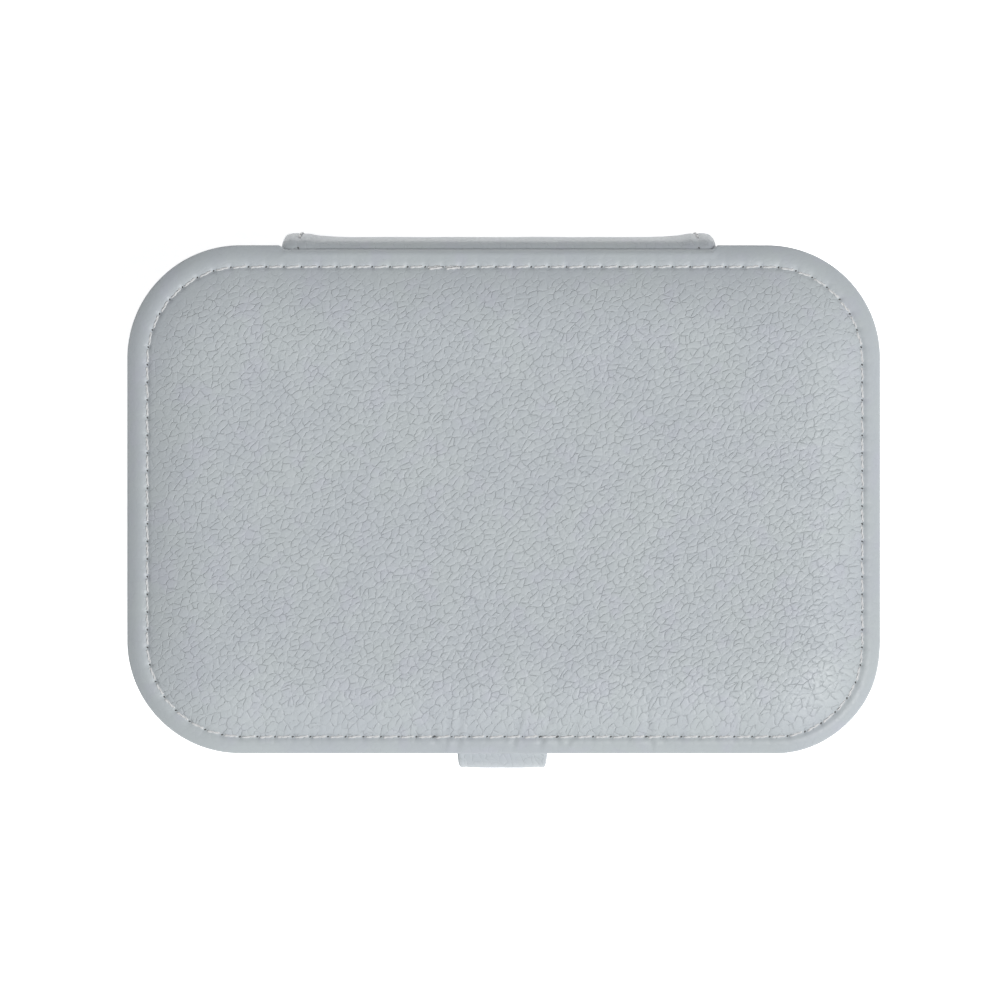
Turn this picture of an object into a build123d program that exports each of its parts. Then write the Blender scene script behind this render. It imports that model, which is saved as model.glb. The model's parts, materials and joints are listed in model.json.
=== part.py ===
from build123d import *
import math
import os

# Travel jewellery case: a lined board box covered in leather, with a padded lid on a leather hinge strap, a
# snap tab at the front, ring rolls and compartments in the base, and a pocket and necklace straps in the lid.
# Origin: middle of the face it rests on. X runs left to right, Y from front to back, Z up. Millimetres.

# ---- overall sizes -----------------------------------------------------------------------------------------
LENGTH = 160.0  # over the rolled edges, left to right
DEPTH = 108.0  # over the rolled edges, front to back
CORNER_R = 24.0  # plan corner of the rolled edges
BASE_H = 29.0  # resting face to the base's rim
LID_H = 19.5  # lid's rim to the top of its rolled edge
CROWN_H = 3.0  # padded top above the rolled edge
PARTING_GAP = 0.5  # between the two rims when the lid is shut
MIN_CORNER_R = 0.5

# ---- covering and boards -----------------------------------------------------------------------------------
LEATHER_T = 1.0
ROLL_T = 3.0  # height of the lid's rolled edge
ROLL_PROUD = 0.6  # rolled edges stand proud of the side bands
ROLL_FLAT = 0.1  # flat left between the two roundings of a rolled edge
BOTTOM_T = 2.4  # bottom panel, leather over board
BOARD_T = 2.0  # lid walls and ceiling, base floor
LID_LINING_T = 0.5
COLLAR_CLEARANCE = 0.5  # between the collar and the lid's lining
COLLAR_T = 1.4
COLLAR_RISE = 4.0  # collar above the base's rim
BASE_LINING_T = 0.6
FLOOR_PAD_T = 1.6
CEILING_T = 2.0
CEILING_CLEARANCE = 0.2

# ---- padded top --------------------------------------------------------------------------------------------
CROWN_START = 0.5  # the crown begins this far inside the stitch line
CROWN_RUN = 15.0  # distance over which it rises to full height
CROWN_POWER = 2.6
CROWN_SECTIONS = 6

# ---- stitching ---------------------------------------------------------------------------------------------
STITCH_INSET = 4.2  # stitch line inside the outline
STITCH_PITCH = 3.75
STITCH_L = 2.9
STITCH_W = 0.6
STITCH_T = 0.35
GROOVE_W = 1.2  # groove that keeps the bottom stitches off the table
GROOVE_T = 0.6

# ---- hinge strap -------------------------------------------------------------------------------------------
STRAP_CORNER_GAP = 9.8  # strap end to the start of the rounded corner
STRAP_X = -1.1  # strap centre
STRAP_T = 1.4
STRAP_BOW = 2.5  # how far it bows off the back wall at the parting
HEM_W = 6.5  # folded double at each end
HEM_T = 0.7
HEM_STITCH = 3.6  # stitch column to the strap's end
FOLD_HALF = 4.0  # half of the zone that folds
AXIS_CLEARANCE = 0.15  # hinge line to the stitches on the hems

# ---- closure tab and its snap ------------------------------------------------------------------------------
TAB_X = -0.3
TAB_W = 19.2
TAB_LAYER_T = 1.0
TAB_STANDOFF = 2.2  # front wall to the tab's inner face
TAB_ROLL_GAP = 0.1  # tab root to the underside of the rolled edge
TAB_END_MARGIN = 8.0  # snap centre to the tab's end
TAB_END_R = 8.0
TAB_STITCH_INSET = 1.8
TAB_STITCH_PITCH = 3.0
TAB_STITCH_L = 2.2
SNAP_Z = 17.0
SNAP_FLANGE_R = 4.6
SNAP_FLANGE_T = 0.8
SNAP_POST_R = 2.0
SNAP_POST_CLEARANCE = 0.2
SNAP_GAP = 0.1  # socket to stud flange, and post to leather
SNAP_CAP_R = 5.4
SNAP_CAP_T = 1.3
SHANK_R = 1.4
SHANK_HOLE_R = 1.5
WASHER_R = 4.5
WASHER_T = 0.7

# ---- base compartments -------------------------------------------------------------------------------------
DIVIDER_T = 2.4
DIVIDER_DROP = 1.0  # divider tops below the base's rim
DIVIDER_ROUND = 0.8
FRONT_BAY_D = 40.2  # front compartments, front to back
SIDE_BAY_W = 21.0  # back side compartments
ROLL_COUNT = 5
ROLL_GAP = 0.2  # between neighbouring ring rolls
ROLL_DROP = 2.8  # ring roll tops below the base's rim
MIDDLE_BAY_W = 47.2  # between the loose dividers
LOOSE_T = 1.8
LOOSE_DROP = 0.5  # loose divider tops below the fixed ones
LOOSE_CLEARANCE = 0.3
EAR_H = 11.2
EAR_L = 2.0
NOTCH_CLEARANCE = 0.25

# ---- lid fittings ------------------------------------------------------------------------------------------
POCKET_L = 120.0
POCKET_D = 38.4
POCKET_BACK_GAP = 2.5
POCKET_T = 0.8
POCKET_HOLLOW = 2.8
POCKET_CORNER_R = 12.0
ELASTIC_W = 5.0
ELASTIC_T = 0.8
ELASTIC_SHORT = 2.0  # elastic shorter than the pocket at each end
NECKLACE_L = 22.0
NECKLACE_W = 11.0
NECKLACE_T = 1.2
NECKLACE_FRONT_GAP = 2.9  # backing strip to the lid's front lining
NECKLACE_ROOT = 3.0  # sewn part of each strap
NECKLACE_PIVOT = 0.7  # sewn part to the line it swings on
NECKLACE_START = 0.3  # line it swings on to the moving part
BACKING_W = 9.0
BACKING_T = 0.8
BACKING_OVERHANG = 12.0  # backing strip beyond the outer straps' centres
NECKLACE_SNAP_BACK = 5.5  # snap centre to the strap's free end
NECKLACE_SNAP_R = 3.6
NECKLACE_SNAP_T = 0.6
NECKLACE_POST_R = 1.4
NECKLACE_POST_T = 0.6
NECKLACE_CAP_T = 1.0

# ---- places worked out from the sizes above ----------------------------------------------------------------
BAND_IN = ROLL_PROUD + LEATHER_T
LID_WALL_IN = BAND_IN + BOARD_T
LID_LINED = LID_WALL_IN + LID_LINING_T
COLLAR_OUT = LID_LINED + COLLAR_CLEARANCE
COLLAR_IN = COLLAR_OUT + COLLAR_T
BASE_LINED = COLLAR_IN + BASE_LINING_T

LID_Z = BASE_H + PARTING_GAP
ROLL_TOP_Z = LID_Z + LID_H
ROLL_Z = ROLL_TOP_Z - ROLL_T
CEILING_BOARD_Z = ROLL_Z - BOARD_T
CEILING_Z = CEILING_BOARD_Z - CEILING_T
FLOOR_Z = BOTTOM_T + BOARD_T
PAD_Z = FLOOR_Z + FLOOR_PAD_T
COLLAR_TOP_Z = BASE_H + COLLAR_RISE
DIVIDER_TOP_Z = BASE_H - DIVIDER_DROP
LOOSE_TOP_Z = DIVIDER_TOP_Z - LOOSE_DROP
NOTCH_Z = LOOSE_TOP_Z - EAR_H - LOOSE_CLEARANCE

INNER_X = LENGTH / 2 - BASE_LINED  # inside of the lined base, each way from the middle
INNER_Y = DEPTH / 2 - BASE_LINED
BAND_Y = DEPTH / 2 - ROLL_PROUD  # side band's outer face, front and back
LONG_DIVIDER_Y = -INNER_Y + FRONT_BAY_D  # its front face
RING_BAY_X = INNER_X - SIDE_BAY_W - DIVIDER_T  # half length of the ring bay
LOOSE_X = MIDDLE_BAY_W / 2 + LOOSE_T / 2
NECKLACE_X = (LOOSE_X + LOOSE_T / 2 + INNER_X) / 2  # middle of each outer front compartment

AXIS_Z = BASE_H + PARTING_GAP / 2
AXIS_Y = BAND_Y + STRAP_BOW + STRAP_T + HEM_T + STITCH_T + AXIS_CLEARANCE
STRAP_HALF = LENGTH / 2 - CORNER_R - STRAP_CORNER_GAP

TAB_T = 2 * TAB_LAYER_T
TAB_IN_Y = BAND_Y + TAB_STANDOFF
TAB_OUT_Y = TAB_IN_Y + TAB_T
TAB_BEND_Z = ROLL_Z - TAB_ROLL_GAP - TAB_STANDOFF - TAB_T  # centre height of the bend
TAB_END_Z = SNAP_Z - TAB_END_MARGIN
BEND_MID = (TAB_STANDOFF + TAB_T / 2) * math.sqrt(0.5)

BACKING_Y = -(DEPTH / 2 - LID_LINED) + NECKLACE_FRONT_GAP
NECKLACE_AXIS_Y = BACKING_Y + NECKLACE_ROOT + NECKLACE_PIVOT
NECKLACE_TOP_Z = CEILING_Z - 2 * NECKLACE_SNAP_T - SNAP_GAP - NECKLACE_POST_T + NECKLACE_SNAP_T / 2
NECKLACE_Z = NECKLACE_TOP_Z - NECKLACE_T
NECKLACE_END_Y = NECKLACE_AXIS_Y + NECKLACE_L
NECKLACE_SNAP_Y = NECKLACE_END_Y - NECKLACE_SNAP_BACK


# ---- shared shapes -----------------------------------------------------------------------------------------
def plan(inset):
    """The case's rounded-rectangle plan, set in from the outline."""
    radius = max(CORNER_R - inset, MIN_CORNER_R)
    return RectangleRounded(LENGTH - 2 * inset, DEPTH - 2 * inset, radius)


def slab(inset, z_low, z_high):
    """A block with that plan."""
    return Pos(0, 0, z_low) * extrude(plan(inset), amount=z_high - z_low)


def wall(outer, inner, z_low, z_high):
    """A closed wall between two insets."""
    return slab(outer, z_low, z_high) - slab(inner, z_low, z_high)


def block(x, y, z):
    """A block from three (low, high) pairs."""
    box = Box(x[1] - x[0], y[1] - y[0], z[1] - z[0])
    return Pos(sum(x) / 2, sum(y) / 2, sum(z) / 2) * box


def disc_y(x, z, y_low, y_high, radius):
    """A disc whose axis runs front to back."""
    return Pos(x, (y_low + y_high) / 2, z) * Rot(90, 0, 0) * Cylinder(radius, y_high - y_low)


def disc_z(x, y, z_low, z_high, radius):
    """An upright disc."""
    return Pos(x, y, (z_low + z_high) / 2) * Cylinder(radius, z_high - z_low)


def rolled_plate(z_low, z_high):
    """A plate over the whole outline whose edge is rolled round."""
    plate = slab(0, z_low, z_high)
    rims = plate.edges().group_by(Axis.Z)
    return fillet(rims[0] + rims[-1], (z_high - z_low - ROLL_FLAT) / 2)


def crown(inset, foot_z):
    """The crowned form of the padding: it rises quickly inside its edge and levels off."""
    sections = []
    for step in range(CROWN_SECTIONS + 1):
        run = step / CROWN_SECTIONS
        rise = 1 - (1 - run) ** CROWN_POWER
        sections.append(Pos(0, 0, foot_z + CROWN_H * rise) * plan(inset + CROWN_RUN * run))
    return loft(sections, ruled=True)


def stitch_ring(z_low):
    """Stitches laid end to end round the border, one every pitch."""
    line = plan(STITCH_INSET).wire()
    count = round(line.length / STITCH_PITCH)
    stitches = []
    for index in range(count):
        place = line.position_at(index / count)
        along = line.tangent_at(index / count)
        turn = math.degrees(math.atan2(along.Y, along.X))
        thread = Box(STITCH_L, STITCH_W, STITCH_T)
        stitches.append(Pos(place.X, place.Y, z_low + STITCH_T / 2) * Rot(0, 0, turn) * thread)
    return Compound(stitches)


# ---- base --------------------------------------------------------------------------------------------------
def base_bottom_panel():
    groove = wall(STITCH_INSET - GROOVE_W / 2, STITCH_INSET + GROOVE_W / 2, 0, GROOVE_T)
    return rolled_plate(0, BOTTOM_T) - groove


def base_side_band():
    """Leather round the walls, turned over the rim as far as the collar."""
    band = wall(ROLL_PROUD, BAND_IN, BOTTOM_T, BASE_H)
    turned = wall(BAND_IN, COLLAR_OUT, BASE_H - LEATHER_T, BASE_H)
    return band + turned - disc_y(TAB_X, SNAP_Z, -BAND_Y - 1, -BAND_Y + LEATHER_T + 1, SHANK_HOLE_R)


def base_shell():
    tray = slab(BAND_IN, BOTTOM_T, BASE_H - LEATHER_T) - slab(COLLAR_OUT, FLOOR_Z, BASE_H)
    return tray - disc_y(TAB_X, SNAP_Z, -BAND_Y, -DEPTH / 2 + COLLAR_OUT + 1, SHANK_HOLE_R)


def front_notches():
    """Notches in the front of the collar and its lining, which hold the loose dividers' front ears."""
    half = LOOSE_T / 2 + NOTCH_CLEARANCE
    y = (-DEPTH / 2 + COLLAR_OUT, -INNER_Y + 1)
    z = (NOTCH_Z, COLLAR_TOP_Z + BASE_LINING_T + 1)
    return [block((x - half, x + half), y, z) for x in (-LOOSE_X, LOOSE_X)]


def base_collar():
    collar = wall(COLLAR_OUT, COLLAR_IN, FLOOR_Z, COLLAR_TOP_Z)
    inner_face = -DEPTH / 2 + COLLAR_IN
    recess = disc_y(TAB_X, SNAP_Z, inner_face - WASHER_T, inner_face + 1, WASHER_R + SNAP_GAP)
    bore = disc_y(TAB_X, SNAP_Z, -DEPTH / 2, inner_face, SHANK_HOLE_R)
    return collar - recess - bore - front_notches()


def base_lining():
    """Velvet inside the collar and over its top edge."""
    inside = wall(COLLAR_IN, BASE_LINED, FLOOR_Z, COLLAR_TOP_Z)
    cap = wall(COLLAR_OUT, BASE_LINED, COLLAR_TOP_Z, COLLAR_TOP_Z + BASE_LINING_T)
    return inside + cap - front_notches()


def base_floor_pad():
    return slab(BASE_LINED, FLOOR_Z, PAD_Z)


def fixed_divider(x, y):
    """A velvet-covered wall with a rounded top, standing on the floor pad."""
    board = block(x, y, (PAD_Z, DIVIDER_TOP_Z))
    along = Axis.X if x[1] - x[0] > y[1] - y[0] else Axis.Y
    top = board.edges().filter_by(along).group_by(Axis.Z)[-1]
    return fillet(top, DIVIDER_ROUND)


def long_divider():
    y = (LONG_DIVIDER_Y, LONG_DIVIDER_Y + DIVIDER_T)
    board = fixed_divider((-INNER_X, INNER_X), y)
    half = LOOSE_T / 2 + NOTCH_CLEARANCE
    cut_y = (y[0] - 1, y[1] + 1)
    cut_z = (NOTCH_Z, DIVIDER_TOP_Z + 1)
    return board - [block((x - half, x + half), cut_y, cut_z) for x in (-LOOSE_X, LOOSE_X)]


def ring_bay_divider(side):
    x = sorted((side * RING_BAY_X, side * (RING_BAY_X + DIVIDER_T)))
    return fixed_divider(x, (LONG_DIVIDER_Y + DIVIDER_T, INNER_Y))


def ring_roll(index):
    """One foam roll: upright sides under a round top."""
    start = LONG_DIVIDER_Y + DIVIDER_T
    pitch = (INNER_Y - start) / ROLL_COUNT
    radius = (pitch - ROLL_GAP) / 2
    middle = start + pitch * (index + 0.5)
    top_z = BASE_H - ROLL_DROP
    half = RING_BAY_X - ROLL_GAP
    body = block((-half, half), (middle - radius, middle + radius), (PAD_Z, top_z - radius))
    top = Pos(0, middle, top_z - radius) * Rot(0, 90, 0) * Cylinder(radius, 2 * half)
    return body + top


def loose_divider(side):
    """A divider with an ear at the top of each end, which hangs in the notches."""
    middle = side * LOOSE_X
    x = (middle - LOOSE_T / 2, middle + LOOSE_T / 2)
    y = (-INNER_Y + LOOSE_CLEARANCE, LONG_DIVIDER_Y - LOOSE_CLEARANCE)
    board = block(x, y, (PAD_Z + LOOSE_CLEARANCE, LOOSE_TOP_Z))
    ears = block(x, (-INNER_Y - EAR_L + LOOSE_CLEARANCE, y[1] + EAR_L), (LOOSE_TOP_Z - EAR_H, LOOSE_TOP_Z))
    return board + ears


def snap_stud():
    """Press stud on the front wall: a flange and the post that the socket grips."""
    flange = disc_y(TAB_X, SNAP_Z, -BAND_Y - SNAP_FLANGE_T, -BAND_Y, SNAP_FLANGE_R)
    post = disc_y(TAB_X, SNAP_Z, -TAB_IN_Y + SNAP_GAP, -BAND_Y, SNAP_POST_R)
    return flange + fillet(post.edges().sort_by(Axis.Y)[0], SNAP_POST_R / 3)


def snap_rivet():
    """Rivet behind the stud: its washer is sunk in the collar, under the lining."""
    inner_face = -DEPTH / 2 + COLLAR_IN
    washer = disc_y(TAB_X, SNAP_Z, inner_face - WASHER_T, inner_face, WASHER_R)
    shank = disc_y(TAB_X, SNAP_Z, -BAND_Y, inner_face, SHANK_R)
    return washer + shank


# ---- hinge strap -------------------------------------------------------------------------------------------
def strap_stand(z):
    """How far the strap's inner face stands off the back wall: it bows out over the parting."""
    reach = ROLL_Z - AXIS_Z if z > AXIS_Z else AXIS_Z - BOTTOM_T
    return STRAP_BOW * (1 - ((z - AXIS_Z) / reach) ** 2)


def strap_arc(z_low, z_high, thickness):
    heights = (z_low, (z_low + z_high) / 2, z_high)
    return ThreePointArc(*[(BAND_Y + strap_stand(z) + thickness, z) for z in heights])


def strap_band(x_low, x_high, z_low, z_high, thickness):
    """A stretch of the strap between two heights."""
    inner = strap_arc(z_low, z_high, 0)
    outer = strap_arc(z_low, z_high, thickness)
    ends = [Line(inner @ 0, outer @ 0), Line(inner @ 1, outer @ 1)]
    section = make_face([inner, outer] + ends)
    return extrude(Plane.YZ.offset(x_low) * section, amount=x_high - x_low)


def hinge_strap(z_low, z_high):
    """The strap with its hemmed ends."""
    low, high = STRAP_X - STRAP_HALF, STRAP_X + STRAP_HALF
    strap = strap_band(low, high, z_low, z_high, STRAP_T)
    strap += strap_band(low, low + HEM_W, z_low, z_high, STRAP_T + HEM_T)
    strap += strap_band(high - HEM_W, high, z_low, z_high, STRAP_T + HEM_T)
    return strap


def strap_stitching(z_low, z_high):
    """A column of stitches near each end of the strap."""
    count = math.floor((z_high - z_low) / STITCH_PITCH)
    half = STRAP_HALF - HEM_STITCH
    stitches = []
    for x in (STRAP_X - half, STRAP_X + half):
        for index in range(count):
            z = z_low + (index + 0.5) * (z_high - z_low) / count
            low, high = z - STITCH_L / 2, z + STITCH_L / 2
            face = BAND_Y + STRAP_T + HEM_T + max(strap_stand(low), strap_stand(z), strap_stand(high))
            stitches.append(block((x - STITCH_W / 2, x + STITCH_W / 2), (face, face + STITCH_T), (low, high)))
    return Compound(stitches)


# ---- lid ---------------------------------------------------------------------------------------------------
def lid_foam_pad():
    """Padding on the ceiling board, a leather's thickness inside the top panel."""
    inset = STITCH_INSET + CROWN_START + LEATHER_T
    foot_z = ROLL_TOP_Z - LEATHER_T
    return slab(inset, ROLL_Z, foot_z) + crown(inset, foot_z)


def lid_top_panel():
    """Leather over the padding, rolled round at its edge."""
    skin = rolled_plate(ROLL_Z, ROLL_TOP_Z) + crown(STITCH_INSET + CROWN_START, ROLL_TOP_Z)
    return skin - lid_foam_pad()


def lid_side_band():
    band = wall(ROLL_PROUD, BAND_IN, LID_Z, ROLL_Z)
    turned = wall(BAND_IN, LID_WALL_IN, LID_Z, LID_Z + LEATHER_T)
    return band + turned


def lid_shell():
    return slab(BAND_IN, LID_Z + LEATHER_T, ROLL_Z) - slab(LID_WALL_IN, LID_Z, CEILING_BOARD_Z)


def lid_lining():
    return wall(LID_WALL_IN, LID_LINED, LID_Z, CEILING_BOARD_Z)


def lid_ceiling_panel():
    return slab(LID_LINED + CEILING_CLEARANCE, CEILING_Z, CEILING_BOARD_Z)


def pocket_span():
    back = DEPTH / 2 - LID_LINED - POCKET_BACK_GAP
    return back - POCKET_D, back


def pocket_form(inset, z_low):
    """Block with the pocket's plan, rounded at its two back corners."""
    mouth, back = pocket_span()
    half = POCKET_L / 2 - inset
    form = block((-half, half), (mouth, back - inset), (z_low, CEILING_Z))
    corners = form.edges().filter_by(Axis.Z).group_by(Axis.Y)[-1]
    return fillet(corners, POCKET_CORNER_R - inset)


def pocket_panel():
    """Fabric sewn down on three sides, open towards the front."""
    return pocket_form(0, CEILING_Z - POCKET_HOLLOW - POCKET_T) - pocket_form(POCKET_T, CEILING_Z - POCKET_HOLLOW)


def pocket_elastic():
    mouth = pocket_span()[0]
    half = POCKET_L / 2 - ELASTIC_SHORT
    face_z = CEILING_Z - POCKET_HOLLOW - POCKET_T
    return block((-half, half), (mouth, mouth + ELASTIC_W), (face_z - ELASTIC_T, face_z))


def necklace_backing_strip():
    """Leather strip on the ceiling, with the sewn end of each strap."""
    half = NECKLACE_X + BACKING_OVERHANG
    strip = block((-half, half), (BACKING_Y, BACKING_Y + BACKING_W), (CEILING_Z - BACKING_T, CEILING_Z))
    for x in (-NECKLACE_X, 0, NECKLACE_X):
        root_x = (x - NECKLACE_W / 2, x + NECKLACE_W / 2)
        strip += block(root_x, (BACKING_Y, BACKING_Y + NECKLACE_ROOT), (NECKLACE_Z, CEILING_Z))
    return strip


def necklace_strap(x):
    """One strap with a round free end and a hole for its snap."""
    half = NECKLACE_W / 2
    start = NECKLACE_AXIS_Y + NECKLACE_START
    straight = block((x - half, x + half), (start, NECKLACE_END_Y - half), (NECKLACE_Z, NECKLACE_TOP_Z))
    end = disc_z(x, NECKLACE_END_Y - half, NECKLACE_Z, NECKLACE_TOP_Z, half)
    return straight + end - disc_z(x, NECKLACE_SNAP_Y, NECKLACE_Z - 1, NECKLACE_TOP_Z + 1, SHANK_HOLE_R)


def necklace_snap(x):
    """Cap under the strap, its shank, and the socket above."""
    cap = disc_z(x, NECKLACE_SNAP_Y, NECKLACE_Z - NECKLACE_CAP_T, NECKLACE_Z, NECKLACE_SNAP_R)
    cap = fillet(cap.edges().sort_by(Axis.Z)[0], NECKLACE_CAP_T * 0.7)
    socket_top = NECKLACE_TOP_Z + NECKLACE_SNAP_T
    socket = disc_z(x, NECKLACE_SNAP_Y, NECKLACE_TOP_Z, socket_top, NECKLACE_SNAP_R)
    bore = disc_z(x, NECKLACE_SNAP_Y, NECKLACE_TOP_Z, socket_top, NECKLACE_POST_R + SNAP_POST_CLEARANCE)
    shank = disc_z(x, NECKLACE_SNAP_Y, NECKLACE_Z, NECKLACE_TOP_Z, SHANK_R)
    return cap + shank + (socket - bore)


def necklace_stud(x):
    """Stud on the ceiling: a flange and a post."""
    flange_z = NECKLACE_TOP_Z + NECKLACE_SNAP_T + SNAP_GAP
    flange = disc_z(x, NECKLACE_SNAP_Y, flange_z, CEILING_Z, NECKLACE_SNAP_R)
    post = disc_z(x, NECKLACE_SNAP_Y, NECKLACE_TOP_Z + SNAP_GAP, CEILING_Z, NECKLACE_POST_R)
    return flange + post


# ---- closure tab -------------------------------------------------------------------------------------------
def tab_plate(inset, y_low, y_high):
    """The hanging part of the tab, rounded at its end."""
    half = TAB_W / 2 - inset
    low = TAB_END_Z + inset
    plate = block((TAB_X - half, TAB_X + half), (y_low, y_high), (low, TAB_BEND_Z))
    corners = plate.edges().filter_by(Axis.Y).group_by(Axis.Z)[0]
    return fillet(corners, TAB_END_R - inset)


def tab_layer(y_low, y_high):
    return tab_plate(0, y_low, y_high) - disc_y(TAB_X, SNAP_Z, y_low - 1, y_high + 1, SHANK_HOLE_R)


def closure_tab_outer():
    return tab_layer(-TAB_OUT_Y, -TAB_OUT_Y + TAB_LAYER_T)


def closure_tab_lining():
    return tab_layer(-TAB_IN_Y - TAB_LAYER_T, -TAB_IN_Y)


def closure_tab_bend():
    """The tab's root: it leaves the seam under the rolled edge and turns down."""
    ring = Circle(TAB_STANDOFF + TAB_T) - Circle(TAB_STANDOFF)
    quarter = ring & (Pos(-TAB_OUT_Y / 2, TAB_OUT_Y / 2) * Rectangle(TAB_OUT_Y, TAB_OUT_Y))
    section = Pos(-BAND_Y, TAB_BEND_Z) * quarter
    return extrude(Plane.YZ.offset(TAB_X - TAB_W / 2) * section, amount=TAB_W)


def closure_tab_stitching():
    """Stitches down one side, round the end and up the other."""
    outline = tab_plate(TAB_STITCH_INSET, -TAB_OUT_Y, -TAB_OUT_Y + TAB_LAYER_T).faces().sort_by(Axis.Y)[0]
    line = outline.outer_wire()
    count = round(line.length / TAB_STITCH_PITCH)
    stitches = []
    for index in range(count):
        place = line.position_at(index / count)
        along = line.tangent_at(index / count)
        turn = math.degrees(math.atan2(along.Z, along.X))
        if place.Z < TAB_BEND_Z - TAB_STITCH_L:
            thread = Box(TAB_STITCH_L, STITCH_T, STITCH_W)
            stitches.append(Pos(place.X, -TAB_OUT_Y - STITCH_T / 2, place.Z) * Rot(0, -turn, 0) * thread)
    return Compound(stitches)


def snap_cap():
    """Cap on the tab's face with the shank through both layers."""
    cap = disc_y(TAB_X, SNAP_Z, -TAB_OUT_Y - SNAP_CAP_T, -TAB_OUT_Y, SNAP_CAP_R)
    cap = fillet(cap.edges().sort_by(Axis.Y)[0], SNAP_CAP_T * 0.7)
    return cap + disc_y(TAB_X, SNAP_Z, -TAB_OUT_Y, -TAB_IN_Y, SHANK_R)


def snap_socket():
    """Socket behind the tab, with the hole that grips the stud's post."""
    y = (-TAB_IN_Y, -BAND_Y - SNAP_FLANGE_T - SNAP_GAP)
    ring = disc_y(TAB_X, SNAP_Z, *y, SNAP_FLANGE_R)
    return ring - disc_y(TAB_X, SNAP_Z, *y, SNAP_POST_R + SNAP_POST_CLEARANCE)


# ---- all nodes ---------------------------------------------------------------------------------------------
def build_nodes():
    fold = (AXIS_Z - FOLD_HALF, AXIS_Z + FOLD_HALF)
    nodes = {
        "base_bottom_panel": base_bottom_panel(),
        "base_bottom_stitching": stitch_ring((GROOVE_T - STITCH_T) * 0.6),
        "base_side_band": base_side_band(),
        "base_shell": base_shell(),
        "base_collar": base_collar(),
        "base_lining": base_lining(),
        "base_floor_pad": base_floor_pad(),
        "long_divider": long_divider(),
        "ring_bay_divider_left": ring_bay_divider(-1),
        "ring_bay_divider_right": ring_bay_divider(1),
        "divider_left": loose_divider(-1),
        "divider_right": loose_divider(1),
        "snap_stud": snap_stud(),
        "snap_rivet": snap_rivet(),
        "hinge_strap_lower": hinge_strap(BOTTOM_T, fold[0]),
        "hinge_strap_fold": hinge_strap(*fold),
        "hinge_strap_upper": hinge_strap(fold[1], ROLL_Z),
        "strap_stitching_lower": strap_stitching(BOTTOM_T, fold[0]),
        "strap_stitching_upper": strap_stitching(fold[1], ROLL_Z),
        "lid_top_panel": lid_top_panel(),
        "lid_foam_pad": lid_foam_pad(),
        "lid_top_stitching": stitch_ring(ROLL_TOP_Z),
        "lid_side_band": lid_side_band(),
        "lid_shell": lid_shell(),
        "lid_lining": lid_lining(),
        "lid_ceiling_panel": lid_ceiling_panel(),
        "pocket_panel": pocket_panel(),
        "pocket_elastic": pocket_elastic(),
        "necklace_backing_strip": necklace_backing_strip(),
        "closure_tab_outer": closure_tab_outer(),
        "closure_tab_lining": closure_tab_lining(),
        "closure_tab_bend": closure_tab_bend(),
        "closure_tab_stitching": closure_tab_stitching(),
        "snap_cap": snap_cap(),
        "snap_socket": snap_socket(),
    }
    for index in range(ROLL_COUNT):
        nodes[f"ring_roll_{index + 1}"] = ring_roll(index)
    for index, x in enumerate((-NECKLACE_X, 0, NECKLACE_X)):
        nodes[f"necklace_strap_{index + 1}"] = necklace_strap(x)
        nodes[f"necklace_snap_{index + 1}"] = necklace_snap(x)
        nodes[f"necklace_stud_{index + 1}"] = necklace_stud(x)
    return nodes


os.makedirs("parts", exist_ok=True)
for name, shape in build_nodes().items():
    export_step(shape, f"parts/{name}.step")
print("hinge line: y", round(AXIS_Y, 3), "z", round(AXIS_Z, 3))
print("tab bend: y", round(-BAND_Y - BEND_MID, 3), "z", round(TAB_BEND_Z + BEND_MID, 3))
print("necklace straps: x", round(NECKLACE_X, 3), "y", round(NECKLACE_AXIS_Y, 3), end=" ")
print("z", round((NECKLACE_Z + NECKLACE_TOP_Z) / 2, 3))
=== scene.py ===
import json
import math

import bmesh
import bpy
import numpy as np
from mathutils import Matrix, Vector


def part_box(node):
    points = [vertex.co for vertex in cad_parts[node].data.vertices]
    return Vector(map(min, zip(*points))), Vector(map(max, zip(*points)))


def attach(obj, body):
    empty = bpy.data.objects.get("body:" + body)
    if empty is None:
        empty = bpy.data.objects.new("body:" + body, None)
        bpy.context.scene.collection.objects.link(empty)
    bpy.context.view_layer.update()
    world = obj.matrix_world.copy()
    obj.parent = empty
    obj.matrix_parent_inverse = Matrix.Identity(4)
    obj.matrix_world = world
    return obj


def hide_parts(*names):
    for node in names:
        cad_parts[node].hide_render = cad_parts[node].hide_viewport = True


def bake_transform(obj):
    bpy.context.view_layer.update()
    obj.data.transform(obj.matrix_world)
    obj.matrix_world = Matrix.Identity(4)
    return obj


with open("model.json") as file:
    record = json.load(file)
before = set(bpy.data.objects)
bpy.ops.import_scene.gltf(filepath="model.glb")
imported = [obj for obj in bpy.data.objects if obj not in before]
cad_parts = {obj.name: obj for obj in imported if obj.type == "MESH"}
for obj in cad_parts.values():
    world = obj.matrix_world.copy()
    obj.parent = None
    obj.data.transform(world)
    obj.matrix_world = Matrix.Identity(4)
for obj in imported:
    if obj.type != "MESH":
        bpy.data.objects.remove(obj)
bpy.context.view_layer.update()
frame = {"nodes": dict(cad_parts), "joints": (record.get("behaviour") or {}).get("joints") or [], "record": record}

MM = 0.001  # everything below is worked out in millimetres and made in metres


# ---- sizes read from the frame, and the few that its boxes don't give ----
def node_box(node):
    """Lowest and highest corner of a CAD node, in millimetres."""
    low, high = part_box(node)
    return np.array(low) / MM, np.array(high) / MM


def joint_place(name):
    joint = next(j for j in frame["joints"] if j["name"] == name)
    return np.array(joint["pos_m"]) / MM


def span(node, axis):
    """Middle of a CAD node along an axis, and half its length."""
    low, high = node_box(node)
    return (low[axis] + high[axis]) / 2, (high[axis] - low[axis]) / 2


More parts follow.
